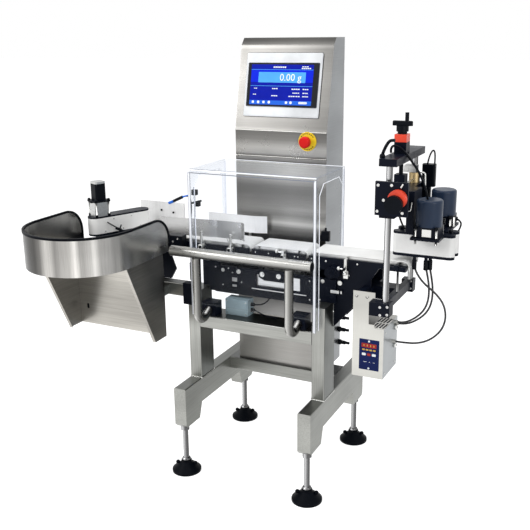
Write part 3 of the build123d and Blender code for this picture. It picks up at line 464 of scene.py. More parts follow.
def cable(name, points, node):
    curve = bpy.data.curves.new(name, "CURVE")
    curve.dimensions = "3D"
    curve.bevel_depth = CABLE_WIDTH / 2
    curve.bevel_resolution = 6
    curve.resolution_u = 16
    curve.use_fill_caps = True
    spline = curve.splines.new("NURBS")
    spline.points.add(len(points) - 1)
    for point, xyz in zip(spline.points, points):
        point.co = (*at(*xyz), 1)
    spline.order_u = 3
    spline.use_endpoint_u = True
    curve.materials.append(cable_jacket)
    obj = bpy.data.objects.new(name, curve)
    bpy.context.scene.collection.objects.link(obj)
    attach(obj, "machine")
    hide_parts(node)


cable_jacket = paint("cable_jacket", (0.014, 0.014, 0.016), 0.45, 800.0)
cable("loop_cord", LOOP, "cable_loop")
cable("near_cord", NEAR, "cable_near")
cable("far_cord", FAR, "cable_far")


# Detail pieces

class Kit:
    """Mesh pieces gathered into one object that rides on a body."""

    def __init__(self, name, material, slot, body="machine"):
        self.name, self.material, self.slot, self.body = name, material, slot, body
        self.bm = bmesh.new()

    def put(self, build, matrix, smooth=False):
        part = bmesh.new()
        build(part)
        for face in part.faces:
            face.smooth = smooth
        mesh = bpy.data.meshes.new("scratch")
        part.to_mesh(mesh)
        part.free()
        mesh.transform(matrix)
        self.bm.from_mesh(mesh)
        bpy.data.meshes.remove(mesh)

    def brick(self, size, bevel, matrix):
        """Block of a size in metres, with small rounded edges."""
        def build(bm):
            bmesh.ops.create_cube(bm, size=1.0, matrix=Matrix.Diagonal((*size, 1)))
            if bevel:
                bmesh.ops.bevel(bm, geom=bm.edges[:], offset=min(bevel / MM, min(size) * 0.4), segments=2,
                                affect="EDGES", profile=0.6)
        self.put(build, matrix)

    def block(self, low, high, bevel=0.8):
        """Block between two corners in stand millimetres."""
        a, b = at(*low), at(*high)
        self.brick(b - a, bevel, Matrix.Translation((a + b) / 2))

    def slanted(self, centre, size, turn=(0, 0, 0), bevel=0.8):
        """Block about a centre in stand millimetres, turned by Euler angles in degrees."""
        turned = Euler([radians(a) for a in turn]).to_matrix().to_4x4()
        self.brick(Vector(size) / MM, bevel, Matrix.Translation(at(*centre)) @ turned)

    def turned(self, profile, place, axis=(0, 0, 1), sides=32, smooth=True):
        """Round piece from (radius, height) millimetres, along an axis from a place in stand millimetres."""
        def build(bm):
            rings = []
            for radius, height in profile:
                if radius < 1e-6:
                    rings.append([bm.verts.new((0, 0, height / MM))])
                    continue
                angles = [2 * pi * k / sides for k in range(sides)]
                rings.append([bm.verts.new((radius / MM * cos(a), radius / MM * sin(a), height / MM)) for a in angles])
            for lower, upper in zip(rings, rings[1:]):
                for k in range(sides):
                    a, b = lower[k % len(lower)], lower[(k + 1) % len(lower)]
                    c, d = upper[(k + 1) % len(upper)], upper[k % len(upper)]
                    corners = []
                    for v in (a, b, c, d):
                        if v not in corners:
                            corners.append(v)
                    if len(corners) > 2:
                        bm.faces.new(corners)
        turn = Vector((0, 0, 1)).rotation_difference(Vector(axis)).to_matrix().to_4x4()
        self.put(build, Matrix.Translation(at(*place)) @ turn, smooth)

    def screw(self, place, axis=(0, -1, 0), radius=4.0, high=3.0, kind="cap"):
        """Screw head on a face: cap with a hex socket, dome, or hex bolt head with a washer."""
        r, h = radius, high
        if kind == "cap":
            self.turned([(0, 0), (r, 0), (r, h * 0.85), (r * 0.9, h), (r * 0.52, h),
                         (r * 0.46, h * 0.45), (0, h * 0.4)], place, axis, 20, False)
        elif kind == "dome":
            self.turned([(0, 0), (r, 0), (r, h * 0.2), (r * 0.85, h * 0.6), (r * 0.5, h * 0.92),
                         (r * 0.3, h * 0.95), (r * 0.26, h * 0.5), (0, h * 0.5)], place, axis, 20)
        else:
            self.turned([(0, 0), (r * 1.45, 0), (r * 1.45, h * 0.25), (0, h * 0.25)], place, axis, 24, False)
            self.turned([(0, h * 0.25), (r, h * 0.25), (r, h * 0.85), (r * 0.85, h), (0, h)], place, axis, 6, False)

    def rod(self, start, end, radius, sides=16, round_end=0.0):
        start, end = Vector(start), Vector(end)
        length = (end - start).length
        e = min(round_end, radius * 0.8)
        self.turned([(0, 0), (radius - e, 0), (radius, e), (radius, length - e), (radius - e, length), (0, length)],
                    start, (end - start).normalized(), sides)

    def tube(self, points, radius, sides=12, rounding=0.4):
        """Bent rod or thin cable along smooth points, in stand millimetres."""
        curve = bpy.data.curves.new("scratch", "CURVE")
        curve.dimensions = "3D"
        curve.bevel_depth = radius / MM
        curve.bevel_resolution = max(sides // 4, 2)
        curve.resolution_u = 10
        curve.use_fill_caps = True
        spline = curve.splines.new("NURBS")
        spline.points.add(len(points) - 1)
        for point, xyz in zip(spline.points, points):
            point.co = (*at(*xyz), 1)
        spline.order_u = 3
        spline.use_endpoint_u = True
        obj = bpy.data.objects.new("scratch", curve)
        mesh = bpy.data.meshes.new_from_object(obj)
        for polygon in mesh.polygons:
            polygon.use_smooth = True
        self.bm.from_mesh(mesh)
        bpy.data.meshes.remove(mesh)
        bpy.data.objects.remove(obj)
        bpy.data.curves.remove(curve)

    def plate(self, outline, plane, depth, bevel=0.3):
        """Flat shape: outline in plane millimetres, plane = (origin, x_dir, y_dir), depth along the normal."""
        origin, x_dir, y_dir = Vector(plane[0]), Vector(plane[1]).normalized(), Vector(plane[2]).normalized()
        normal = x_dir.cross(y_dir)

        def build(bm):
            low = [bm.verts.new((x / MM, y / MM, 0)) for x, y in outline]
            face = bm.faces.new(low)
            face.normal_update()
            made = bmesh.ops.extrude_face_region(bm, geom=[face])
            top = [v for v in made["geom"] if isinstance(v, bmesh.types.BMVert)]
            bmesh.ops.translate(bm, verts=top, vec=(0, 0, depth / MM))
            bmesh.ops.recalc_face_normals(bm, faces=bm.faces[:])
            if bevel:
                edges = [e for e in bm.edges if all(v in top for v in e.verts)]
                bmesh.ops.bevel(bm, geom=edges, offset=bevel / MM, segments=2, affect="EDGES", profile=0.6)
        matrix = Matrix((
            (x_dir.x, y_dir.x, normal.x, 0),
            (x_dir.y, y_dir.y, normal.y, 0),
            (x_dir.z, y_dir.z, normal.z, 0),
            (0, 0, 0, 1),
        ))
        self.put(build, Matrix.Translation(at(*origin)) @ matrix)

    def text(self, words, plane, size, depth=0.2, align="CENTER"):
        """Raised characters on a plane, size in millimetres."""
        origin, x_dir, y_dir = Vector(plane[0]), Vector(plane[1]).normalized(), Vector(plane[2]).normalized()
        normal = x_dir.cross(y_dir)
        curve = bpy.data.curves.new("scratch", "FONT")
        curve.body = words
        curve.size = size / MM
        curve.extrude = depth / MM
        curve.align_x = align
        curve.align_y = "CENTER"
        curve.resolution_u = 3
        obj = bpy.data.objects.new("scratch", curve)
        mesh = bpy.data.meshes.new_from_object(obj)
        place = at(*origin)
        mesh.transform(Matrix((
            (x_dir.x, y_dir.x, normal.x, place.x),
            (x_dir.y, y_dir.y, normal.y, place.y),
            (x_dir.z, y_dir.z, normal.z, place.z),
            (0, 0, 0, 1),
        )))
        self.bm.from_mesh(mesh)
        bpy.data.meshes.remove(mesh)
        bpy.data.objects.remove(obj)
        bpy.data.curves.remove(curve)

    def done(self):
        mesh = bpy.data.meshes.new(self.name)
        self.bm.to_mesh(mesh)
        self.bm.free()
        mesh.materials.append(self.material)
        obj = bpy.data.objects.new(self.name, mesh)
        bpy.context.scene.collection.objects.link(obj)
        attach(obj, self.body)
        return obj


def rounded(width, height, radius, x=0.0, y=0.0, steps=5):
    """Outline of a rounded rectangle about (x, y)."""
    points = []
    for cx, cy, start in ((1, 1, 0), (-1, 1, 90), (-1, -1, 180), (1, -1, 270)):
        for k in range(steps + 1):
            a = radians(start + 90 * k / steps)
            points.append((x + cx * (width / 2 - radius) + radius * cos(a),
                           y + cy * (height / 2 - radius) + radius * sin(a)))
    return points


def disc(radius, x=0.0, y=0.0, sides=40):
    return [(x + radius * cos(2 * pi * k / sides), y + radius * sin(2 * pi * k / sides)) for k in range(sides)]


# Colours for the small pieces

# Bright steel for the column's fold lines: a painted highlight
fold_highlight_steel = brushed("painted_fold_highlight", (0.74, 0.73, 0.70), 0.3, UPRIGHT)
lcd_blue = glow("display_blue", (0.004, 0.018, 0.56), 0.30)
lcd_dark = glow("display_band", (0.003, 0.010, 0.30), 0.25)
lcd_light = glow("display_light_blue", (0.08, 0.36, 0.80), 0.15)
lcd_icons = glow("display_icon_bar", (0.02, 0.12, 0.62), 0.20)
ink_white = paint("white_marks", (0.80, 0.84, 0.90), 0.5, 900.0, 0.05, 0.1)
ink_black = paint("black_marks", (0.010, 0.011, 0.014), 0.5, 900.0, 0.05, 0.1)
panel_blue = paint("keypad_blue", (0.006, 0.013, 0.075), 0.4, 900.0, 0.1, 0.10)
key_yellow = paint("keypad_yellow", (0.52, 0.33, 0.08), 0.45, 900.0, 0.1, 0.2)
lens_red = paint("red_lens", (0.30, 0.018, 0.012), 0.25, 900.0, 0.05, 0.2, 0.1)
tip_blue = paint("blue_tip", (0.015, 0.13, 0.55), 0.35, 900.0, 0.1, 0.2)
# Glowing white for the cover edges: a painted highlight
edge_highlight_white = glow("glowing_edge_highlight", (0.86, 0.88, 0.92), 0.12)
# Dark grey for the cover edges: painted shade
edge_shade_grey = paint("shaded_edge", (0.20, 0.22, 0.27), 0.3, 900.0, 0.05, 0.3)


# Screen

def on_slope(x, up, out):
    """Place on the sloped head: x right, up the slope, out from its face."""
    return (x, 96 + 0.2047 * up - 0.9788 * out, 1284 + 0.9788 * up + 0.2047 * out)


SLOPE = ((1, 0, 0), (0, 0.2047, 0.9788))
FRONT = ((1, 0, 0), (0, 0, 1))
BEZEL_X, LCD_X, LCD_UP, GLASS = -9, -13, 166, 7.0

# Painted shadow: a dark outline plate on the slope around the screen frame
frame_shadow_plate = Kit("screen_frame_painted_shadow", ink_black, "black_plastic")
frame_shadow_plate.plate(rounded(307.5, 236.5, 8), (on_slope(BEZEL_X, LCD_UP, 0.1), *SLOPE), 1.2, 0)
frame_shadow_plate.done()
frame_black = Kit("screen_border", ink_black, "screen_face")
border = rounded(284, 159, 3)
frame_black.plate(border, (on_slope(BEZEL_X, LCD_UP, GLASS), *SLOPE), 0.4, 0.15)
frame_black.done()

lcd = Kit("screen_picture", lcd_blue, "screen_face")
lcd.plate(rounded(250, 146, 1.5), (on_slope(LCD_X, LCD_UP, GLASS + 0.4), *SLOPE), 0.2, 0)
lcd.done()
bands = Kit("screen_bands", lcd_dark, "screen_face")
bands.plate(rounded(250, 17, 1), (on_slope(LCD_X, LCD_UP + 64, GLASS + 0.6), *SLOPE), 0.1, 0)
bands.plate(rounded(250, 66, 1), (on_slope(LCD_X, LCD_UP - 24, GLASS + 0.6), *SLOPE), 0.1, 0)
bands.done()
bar = Kit("screen_number_bar", lcd_light, "screen_face")
bar.plate(rounded(190, 38, 2), (on_slope(LCD_X + 1, LCD_UP + 27, GLASS + 0.6), *SLOPE), 0.15, 0)
bar.plate(rounded(250, 1.4, 0.5), (on_slope(LCD_X, LCD_UP + 55, GLASS + 0.7), *SLOPE), 0.12, 0)
bar.plate(rounded(250, 1.4, 0.5), (on_slope(LCD_X, LCD_UP + 9.5 - 14, GLASS + 0.7), *SLOPE), 0.12, 0)
bar.done()
icons = Kit("screen_icon_bar", lcd_icons, "screen_face")
icons.plate(rounded(250, 15, 1), (on_slope(LCD_X, LCD_UP - 65, GLASS + 0.6), *SLOPE), 0.12, 0)
icons.done()
marks = Kit("screen_marks", ink_white, "screen_face")
marks.text("0.00 g", (on_slope(LCD_X + 36, LCD_UP + 26, GLASS + 0.8), *SLOPE), 36, 0.1)
for x, up, width, high in (
    (-10, 64, 52, 5), (92, 66, 26, 3), (96, 60, 38, 4), (-103, -14, 14, 3), (-24, -14, 24, 3.5), (60, -15, 34, 3.5),
    (99, -15, 24, 3.5), (62, -29, 28, 3.5), (99, -29, 22, 3.5), (-106, -36, 14, 3), (-24, -40, 26, 3.5),
    (46, -41, 26, 3.5), (70, -41, 18, 3.5), (100, -41, 24, 3.5),
):
    dashes = max(int(width / 7), 1)
    step = width / dashes
    for k in range(dashes):
        middle = on_slope(LCD_X + x - width / 2 + (k + 0.5) * step, LCD_UP + up, GLASS + 0.75)
        marks.plate(rounded(step - 1.6, high, 0.5), (middle, *SLOPE), 0.1, 0)
for k, x in enumerate((-110, -88, -66, -44, 26, 44)):
    outline = disc(5.2, sides=18) if k % 2 else rounded(9, 9, 2)
    marks.plate(outline, (on_slope(LCD_X + x, LCD_UP - 64, GLASS + 0.75), *SLOPE), 0.1, 0)
marks.plate(rounded(34, 8, 3.5), (on_slope(LCD_X + 92, LCD_UP - 64, GLASS + 0.75), *SLOPE), 0.1, 0)
marks.done()

lip = Kit("screen_frame_lip", bezel_grey, "white_plastic")
for outline, out, thick in ((rounded(304, 233, 6), 3.4, 1.2 * 0.6), (rounded(297, 226, 5), 4.0, 2.0 * 0.6)):
    lip.plate(outline, (on_slope(BEZEL_X, LCD_UP, out), *SLOPE), thick, 0.8)
lip.done()

# Stop button: ring of marks
BUTTON_X, BUTTON_Z = 105, 1249
ring = Kit("stop_marks", ink_black, "black_plastic")
for way in (1, -1):
    for k in range(-3, 4):
        a = radians(90 * way + 17 * k)
        place = (BUTTON_X + 29 * cos(a), 91.9, BUTTON_Z + 29 * sin(a))
        plane = (place, (way * sin(a), 0, -way * cos(a)), (way * cos(a), 0, way * sin(a)))
        ring.plate(rounded(5.5, 3.2, 0.6), plane, 0.3, 0)
ring.done()

# Column: fold lines, rods whose bright colour is a painted highlight along the folds
painted_folds = Kit("column_folds_painted_highlight", fold_highlight_steel, "stainless")
painted_folds.rod((-191, 95.6, 1283), (179, 95.6, 1283), 1.6, 12)
for z in (1162.6, 1186.6):
    painted_folds.rod((-191, 95.8, z), (179, 95.8, z), 1.0, 12)
painted_folds.done()


# Conveyor frames: screws, washers, clamps and blocks

bolts = Kit("frame_bolts", zinc, "bright_metal")
for x, z, r in ((-164, 776, 7), (-98, 777, 9), (2, 779, 9.5), (69, 779, 9.5)):
    bolts.turned([(0, 0), (r, 0), (r, 1.6), (0, 1.6)], (x, -80 if x < -20 else -84, z), (0, -1, 0), 28, False)
    bolts.screw((x, -81.6 if x < -20 else -85.6, z), radius=r * 0.62, high=3.2)
for x, z in ((-140, 785), (-123, 770), (-85, 737), (-165, 718), (190, 775), (190, 705)):
    bolts.screw((x, -80, z), radius=2.6, high=2)
for x, z in ((-243, 690), (-200, 782)):
    bolts.screw((x, -72, z), radius=3, high=2)
for x, z, r in ((240, 782, 7), (305, 783, 8.5)):
    bolts.turned([(0, 0), (r, 0), (r, 1.5), (0, 1.5)], (x, -81, z), (0, -1, 0), 28, False)
    bolts.screw((x, -82.5, z), radius=r * 0.6, high=2.5)
for x, z in ((251, 857), (365, 856), (334, 812), (278, 671)):
    bolts.screw((x, -73 if x > 275 else -80.5, z), radius=3.6, high=2.2, kind="dome")
bolts.screw((229, -81, 711), radius=3.4, high=2.2, kind="dome")
for x in (23, 127, 140, 193, -30):
    bolts.screw((x, -72, 858), radius=2.4, high=1.8)
for x in (-610, -560, -440, -400, -330):
    bolts.screw((x, -72, 852), radius=3.0, high=2.2)
for x, z in ((-300, 792), (-290, 716)):
    bolts.screw((x, -72, z), radius=3.2, high=2.4)
for x in (-560, -300, -140, 30, 150, 260, 480):
    bolts.screw((x, 72, 845), (0, 1, 0), 3.2, 2.4, "dome")
bolts.done()

plates = Kit("dark_cover_plates", navy_plate, "dark_metal")
notched = [(-13, 798), (100, 798), (100, 768), (88, 756), (10, 756), (-13, 768)]
plates.plate(notched, ((0, -80, 0), *FRONT), 4)
plates.plate(disc(21), ((268, -82, 816), *FRONT), 4, 1.2)
plates.plate(disc(16), ((268, -86, 816), *FRONT), 1.5, 0.8)
plates.slanted((268, -88.5, 816), (4, 3, 24), (0, 30, 0), 1.0)
plates.block((148, -73.6, 866), (168, -72, 868), 0.3)
for x, z in ((-311, 754), (-269, 762)):
    plates.block((x - 3, -73.5, z - 38), (x + 3, -72, z + 32), 0.6)
plates.block((477, -86, 850), (541, -64, 866), 1.5)
plates.block((500, -90, 852), (516, -64, 872), 2.5)
plates.done()

silver = Kit("silver_blocks", aluminium, "bright_metal")
silver.block((-26, -71.9, 727), (97, -68, 779), 0.6)
silver.block((99, -81, 732), (152, -80, 779), 0.4)
silver.block((-125, -83, 737), (-104, -80, 752), 0.8)
silver.block((-124, -82, 716), (-106, -80, 724), 0.4)
silver.block((271, -85, 743), (303, -79, 755), 1.2)
silver.block((308, -85, 743), (314, -79, 755), 2.0)
silver.block((-42, -84, 718), (178, -80, 721.5), 0.5)
silver.rod((505, 100, 772), (505, 100, 838), 6.5, 24)
silver.rod((507, -60, 772), (507, -60, 850), 4, 16)
silver.done()

wings = Kit("wing_clamps", zinc, "bright_metal")
for x, top, low in ((-251, 881, 850), (-128, 884, 850), (87, 878, 848), (326, 874, 812)):
    wings.block((x - 9, -83, low - (10 if x > 300 else 0)), (x + 9, -72, low + 18), 1.6)
    wings.block((x - 5, -88, low + 6), (x + 5, -72, top), 1.4)
    wings.turned([(0, 0), (7, 0), (7, 9), (5.5, 11), (0, 11)], (x, -84, low + 10), (0, -1, 0), 24)
    if x == -128:
        for lean in (-1, 1):
            wings.slanted((x + lean * 6, -92, low + 45), (3, 3, 22), (0, lean * 24, 0), 1.2)
    if x in (87, 326):
        wings.rod((x - 6, -80, low + 24), (x - 24, -80, low + 24), 3, 14)
        knob = [(0, 0), (6.5, 0), (7.5, 2), (7.5, 7), (6, 9), (0, 9)]
        wings.turned(knob, (x - 22, -80, low + 24), (-1, 0, 0), 24)
wings.done()
wing_cores = Kit("wing_clamp_knobs", black_mould, "black_plastic")
for x, low in ((-250, 850), (-128, 850), (87, 848), (326, 830)):
    wing_cores.turned([(0, 0), (5.2, 0), (5.2, 6), (4.2, 7), (0, 7)], (x, -95, low + 10), (0, -1, 0), 20)
wing_cores.done()

# Take-up screws at the outer conveyor ends
takeups = Kit("take_up_screws", zinc, "bright_metal")
for x, way in ((500, 1), (-655, -1)):
    for y in (-74.5, 74.5):
        takeups.rod((x, y, 859), (x + way * 26, y, 859), 2.6, 14)
        takeups.turned([(0, 0), (5.4, 0), (5.4, 4), (0, 4)], (x + way * 18, y, 859), (way, 0, 0), 6, False)
takeups.done()

# Junction box: lid line, glands and corner screws
jbox = Kit("junction_box_lid", box_grey, "box_plastic")
jbox.plate(rounded(94, 63, 3), ((-96.5, -100.2, 643), *FRONT), 5, 0.8)
jbox.plate(rounded(84, 53, 2.5), ((-96.5, -105.2, 643), *FRONT), 1.2, 0.5)
jbox.done()
glands = Kit("box_glands", black_mould, "black_plastic")
for z in (632, 654):
    glands.turned([(0, 0), (8, 0), (8, 5), (6.5, 6), (6.5, 14), (4.5, 17), (0, 17)], (-50, -78, z), (1, 0, 0), 20)
glands.tube([(-34, -78, 654), (-10, -78, 656), (14, -70, 668), (24, -60, 690), (30, -50, 705)], 2.6)
glands.tube([(-34, -78, 632), (-12, -84, 628), (10, -86, 620), (30, -84, 616), (60, -80, 615.5)], 2.6)
glands.done()
box_screws = Kit("box_gland_nuts", zinc, "bright_metal")
for z in (632, 654):
    box_screws.turned([(0, 0), (9.5, 0), (9.5, 3), (0, 3)], (-50, -78, z), (1, 0, 0), 6, False)
for x in (-136, -57):
    for z in (620, 666):
        box_screws.screw((x, -106.2, z), radius=2.4, high=1.2)
box_screws.done()

# Clear cover: painted highlights (glowing rods and strips) and painted shade (dark rods) along the sheet edges

edge_glow = Kit("cover_edge_painted_highlights", edge_highlight_white, "clear_sheet")
shade = Kit("cover_shaded_edges", edge_shade_grey, "clear_sheet")
OUTER = ((-185.4, 622), (-185.4, 1158), (-176, 1168.4), (84, 1168.4), (84, 870))
INNER = ((-155, 622), (-155, 1104), (-119, 1139.6), (29, 1139.6), (65.6, 1104), (65.6, 870))
for x in (-232, 255.2):
    for (ya, za), (yb, zb) in zip(INNER, INNER[1:]):
        edge_glow.rod((x, ya, za), (x, yb, zb), 1.5, 8)
for (ya, za), (yb, zb) in zip(OUTER, OUTER[1:]):
    shade.rod((255.4, ya, za), (255.4, yb, zb), 0.8, 8)
for low, high in ((-239.6, -232.4), (247.4, 254.6)):
    edge_glow.block((low, -186.8, 622), (high, -185.6, 1160), 0.3)
    edge_glow.block((low, 84.6, 870), (high, 85.8, 1160), 0.3)
for x in (-240.4, -231, 246.6):
    shade.rod((x, -186.2, 626), (x, -186.2, 1158), 0.9, 8)
shade.rod((-236, -153, 640), (-236, -153, 1100), 1.2, 8)
edge_glow.rod((-239, -183.6, 1166.6), (254, -183.6, 1166.6), 2.2, 10)
edge_glow.rod((-239, 84, 1168), (254, 84, 1168), 1.4, 8)
shade.rod((-236, -185.8, 1157), (251, -185.8, 1157), 1.6, 8)
shade.rod((-236, -177, 1169.2), (251, -177, 1169.2), 0.9, 8)
edge_glow.done()
shade.done()


# Hand rail ends

rail_ends = Kit("rail_end_plugs", black_mould, "black_plastic")
for x, way in ((-293, -1), (260, 1)):
    rail_ends.turned([(0, 0), (17, 0), (17, 0.8), (15, 1.4), (0, 1.4)], (x, -230, 875), (way, 0, 0), 40)
rail_ends.done()


# Chute and sorting arm

plugs = Kit("chute_and_arm_fittings", black_mould, "black_plastic")
plugs.block((-680, -250, 602), (-664, -246, 630), 0.6)
plugs.block((-382, -120, 829), (-316, -84, 899), 2)
U, V = Vector((-0.404, -0.915, 0)), Vector((0.915, -0.404, 0))
ARM = Vector((-658.9, -159.7, 0))
for a in (-27, 27):
    for b in (-27, 27):
        corner = ARM + U * a + V * b
        plugs.turned([(0, 0), (5.5, 0), (5.5, 4), (3, 6.5), (0, 6.5)], (corner.x, corner.y, 1021), (0, 0, 1), 20)
        plugs.turned([(0, 0), (5.5, 0), (5.5, 9), (0, 9)], (corner.x, corner.y, 959), (0, 0, 1), 6, False)
for a in (-31, 31):
    corner = ARM + U * a
    plugs.turned([(0, 0), (6.5, 0), (6.5, 5), (4.5, 7.5), (0, 7.5)], (corner.x, corner.y, 1012), (0, 0, 1), 20)
plugs.rod((-621, -165, 936), (-598, -140, 912), 2.4, 10)
plugs.slanted((-593, -134, 905), (24, 10, 9), (0, 20, 20), 1.5)
plugs.rod((-588, -131, 908), (-583, -128, 922), 2.6, 10)
plugs.rod((-590, -132, 903), (-560, -110, 892), 2.6, 10)
for x, z in ((-532, 943), (-476, 937)):
    plugs.screw((x, 82, z), radius=4.2, high=2)
plugs.done()

arm_bits = Kit("arm_screws_and_posts", zinc, "bright_metal")
for a in (-27, 27):
    for b in (-27, 27):
        corner = ARM + U * a + V * b
        arm_bits.rod((corner.x, corner.y, 968), (corner.x, corner.y, 1015), 3.4, 16)
for k in range(5):
    place = Vector((-583, 12, 0)) + Vector((-84, -190, 0)) * (0.12 + 0.19 * k) + V * 29.2
    arm_bits.screw((place.x, place.y, 944 if k % 2 else 900), V, 2.6, 1.2)
for x, z in ((-355, 876), (-334, 888), (-370, 846)):
    arm_bits.screw((x, -120, z), radius=3.6, high=2.4)
arm_bits.done()

sensor = Kit("sorting_sensor", black_mould, "black_plastic")
sensor.rod((-432, 85, 1004), (-474, 85, 984), 6, 18)
sensor.rod((-376, 85, 926), (-376, 85, 1036), 3.2, 12)
sensor.block((-386, 76, 1016), (-364, 94, 1038), 2)
sensor.rod((-404, 85, 978), (-346, 85, 995), 4, 14)
sensor.block((-372, 72, 972), (-352, 92, 990), 2)
sensor.tube([(-432, 85, 1004), (-410, 85, 1012), (-392, 80, 1000), (-386, 76, 972), (-388, 74, 935),
             (-392, 74, 905)], 2.4)
sensor.block((168, 78, 884), (200, 95, 922), 2.5)
sensor.block((158, 80, 892), (170, 90, 906), 1.5)
sensor.rod((184, 86, 922), (184, 86, 934), 4, 14)
sensor.done()
sensor_tip = Kit("sorting_sensor_tip", tip_blue, "screen_face")
sensor_tip.rod((-474, 85, 984), (-497, 85, 974), 5.4, 18)
sensor_tip.rod((-430, 85, 1005), (-404, 85, 1012), 3.4, 14)
sensor_tip.done()


# Mast

mast = Kit("mast_lever_and_stop", black_mould, "black_plastic")
mast.turned([(0, 0), (9, 0), (9, 8), (7, 12), (0, 12)], (476, -176, 1248), (0, 0, 1), 24)
mast.tube([(476, -176, 1258), (482, -176, 1276), (494, -176, 1298), (503, -176, 1305), (516, -176, 1305)], 5.2)
mast.done()
limit = Kit("limit_block", aluminium, "bright_metal")
limit.block((482, 48, 1168), (524, 90, 1192), 2)
limit.block((496, 88, 1187), (514, 101, 1191.5), 1)
limit.block((488, 46.5, 1172), (500, 48, 1188), 0.6)
for x, z in ((493, 759), (518, 763), (494, 732), (518, 736)):
    limit.screw((x, -207, z), radius=4.6, high=3)
for x, z in ((490, 765), (512, 767), (490, 739), (512, 740)):
    limit.screw((x, 92, z), radius=4.0, high=2.6)
limit.done()

head_screws = Kit("head_screws", zinc, "bright_metal", "gripper_head")
for x, z in ((479, 1168), (523, 1170), (498, 1121), (478, 1084), (560, 1084)):
    head_screws.screw((x, -219, z), radius=4.8, high=3)
head_screws.slanted((556, -219.5, 1170), (5, 2, 15), (0, 30, 0), 0.8)
head_screws.tube([(550, -2, 1180), (568, -2, 1180), (573, -2, 1172), (573, -2, 1121)], 2.6)
head_screws.tube([(549, -70, 1090), (547, -70, 1064), (541, -70, 1058), (520, -70, 1060)], 2.6)
head_screws.block((530, -152, 1094), (536, -112, 1114), 1.2)
head_screws.block((530, -160, 1068), (535, -126, 1084), 1.2)
head_screws.rod((495, 62, 1127), (509, 98, 1143), 3, 14)
for x, y, z in ((530, -185, 1112), (530, -185, 1078), (530, -95, 1110), (530, -95, 1076)):
    head_screws.screw((x, y, z), (1, 0, 0), 3.6, 2.4)
for y in (-111, 81):
    head_screws.block((597, y - 1.6, 987), (628, y, 1012), 1)
    for x in (577, 645):
        head_screws.rod((x, y - 3, 984), (x, y - 3, 1014), 4.2, 18)
        head_screws.rod((x, y - 3, 974), (x, y - 3, 962), 3.6, 16)
for y in (-36, 156):
    for x in (577, 645):
        head_screws.rod((x, y + 3, 984), (x, y + 3, 1014), 4.2, 18)
head_screws.rod((655, 90, 984), (655, 90, 1016), 4.2, 18)
head_screws.done()

head_black = Kit("head_cables_and_caps", black_mould, "black_plastic", "gripper_head")
head_black.tube([(481, -100, 1254), (479, -100, 1268), (490, -100, 1280), (512, -98, 1272), (534, -96, 1250),
                 (555, -94, 1222), (575, -92, 1194), (590, -90, 1162), (600, -86, 1130), (604, -80, 1106)], 3.9)
head_black.tube([(546, 122, 1188), (550, 122, 1212), (560, 122, 1236), (568, 122, 1238), (572, 122, 1218),
                 (571, 122, 1186)], 2.8)
head_black.tube([(488, -20, 1060), (492, -20, 1030), (503, -20, 1004), (513, -20, 984)], 3.2)
for y in (-111, 81):
    for x in (577, 645):
        head_black.rod((x, y - 3, 1014), (x, y - 3, 1022), 6, 18)
        head_black.rod((x, y - 3, 982), (x, y - 3, 987), 6, 18)
head_black.block((571, -104, 1013), (649, -40, 1019), 2)
head_black.block((571, 88, 1013), (649, 152, 1019), 2)
head_black.block((650, 96, 1000), (664, 114, 1014), 2)
head_black.tube([(663, 105, 1007), (676, 105, 1000), (678, 105, 984), (670, 105, 966)], 3.0)
for x in (500, 668):
    head_black.turned([(0, 0), (7, 0), (7, 8), (5.5, 10), (0, 10)], (x, -4, 982), (0, 0, 1), 24)
for x, y in ((556, -34), (595, -31), (607, -21)):
    head_black.turned([(3.6, 0), (8, 0), (8, 32), (6.5, 34), (3.6, 34)], (x, y, 852), (0, 0, 1), 20)
head_black.slanted((556, -219.6, 1148), (16, 1.4, 34), (0, -18, 0), 0.6)
head_black.done()


# Speed controller panel

panel = Kit("keypad", panel_blue, "dark_metal")
panel.plate(rounded(72, 113, 2), ((441.5, -150, 560), *FRONT), 0.6, 0.2)
panel.done()
readout = Kit("keypad_readout", lens_red, "orange_plastic")
readout.plate(rounded(54, 15, 1.5), ((441, -150.6, 594), *FRONT), 0.8, 0.2)
readout.plate(rounded(13, 9, 2.5), ((441, -150.6, 561), *FRONT), 0.7, 0.2)
readout.done()
keys = Kit("keypad_keys", key_yellow, "yellow_plastic")
for k in range(4):
    keys.plate(rounded(10, 5.5, 1.5), ((421.5 + 13 * k, -150.6, 578), *FRONT), 0.7, 0.2)
for k in range(4):
    keys.plate(rounded(2.8, 7.0, 0.6), ((423 + 12 * k, -151.4, 594), *FRONT), 0.2, 0)
keys.done()
keys_white = Kit("keypad_white_keys", ink_white, "white_plastic")
for x in (423, 459):
    keys_white.plate(rounded(14, 9, 2.5), ((x, -150.6, 561), *FRONT), 0.7, 0.2)
for x, width in ((428, 12), (444, 4), (460, 7)):
    keys_white.plate(rounded(width, 1.2, 0.4), ((x, -150.6, 533), *FRONT), 0.3, 0)
for z in (610, 510):
    keys_white.screw((441, -150.6, z), radius=3.6, high=1.6)
keys_white.done()

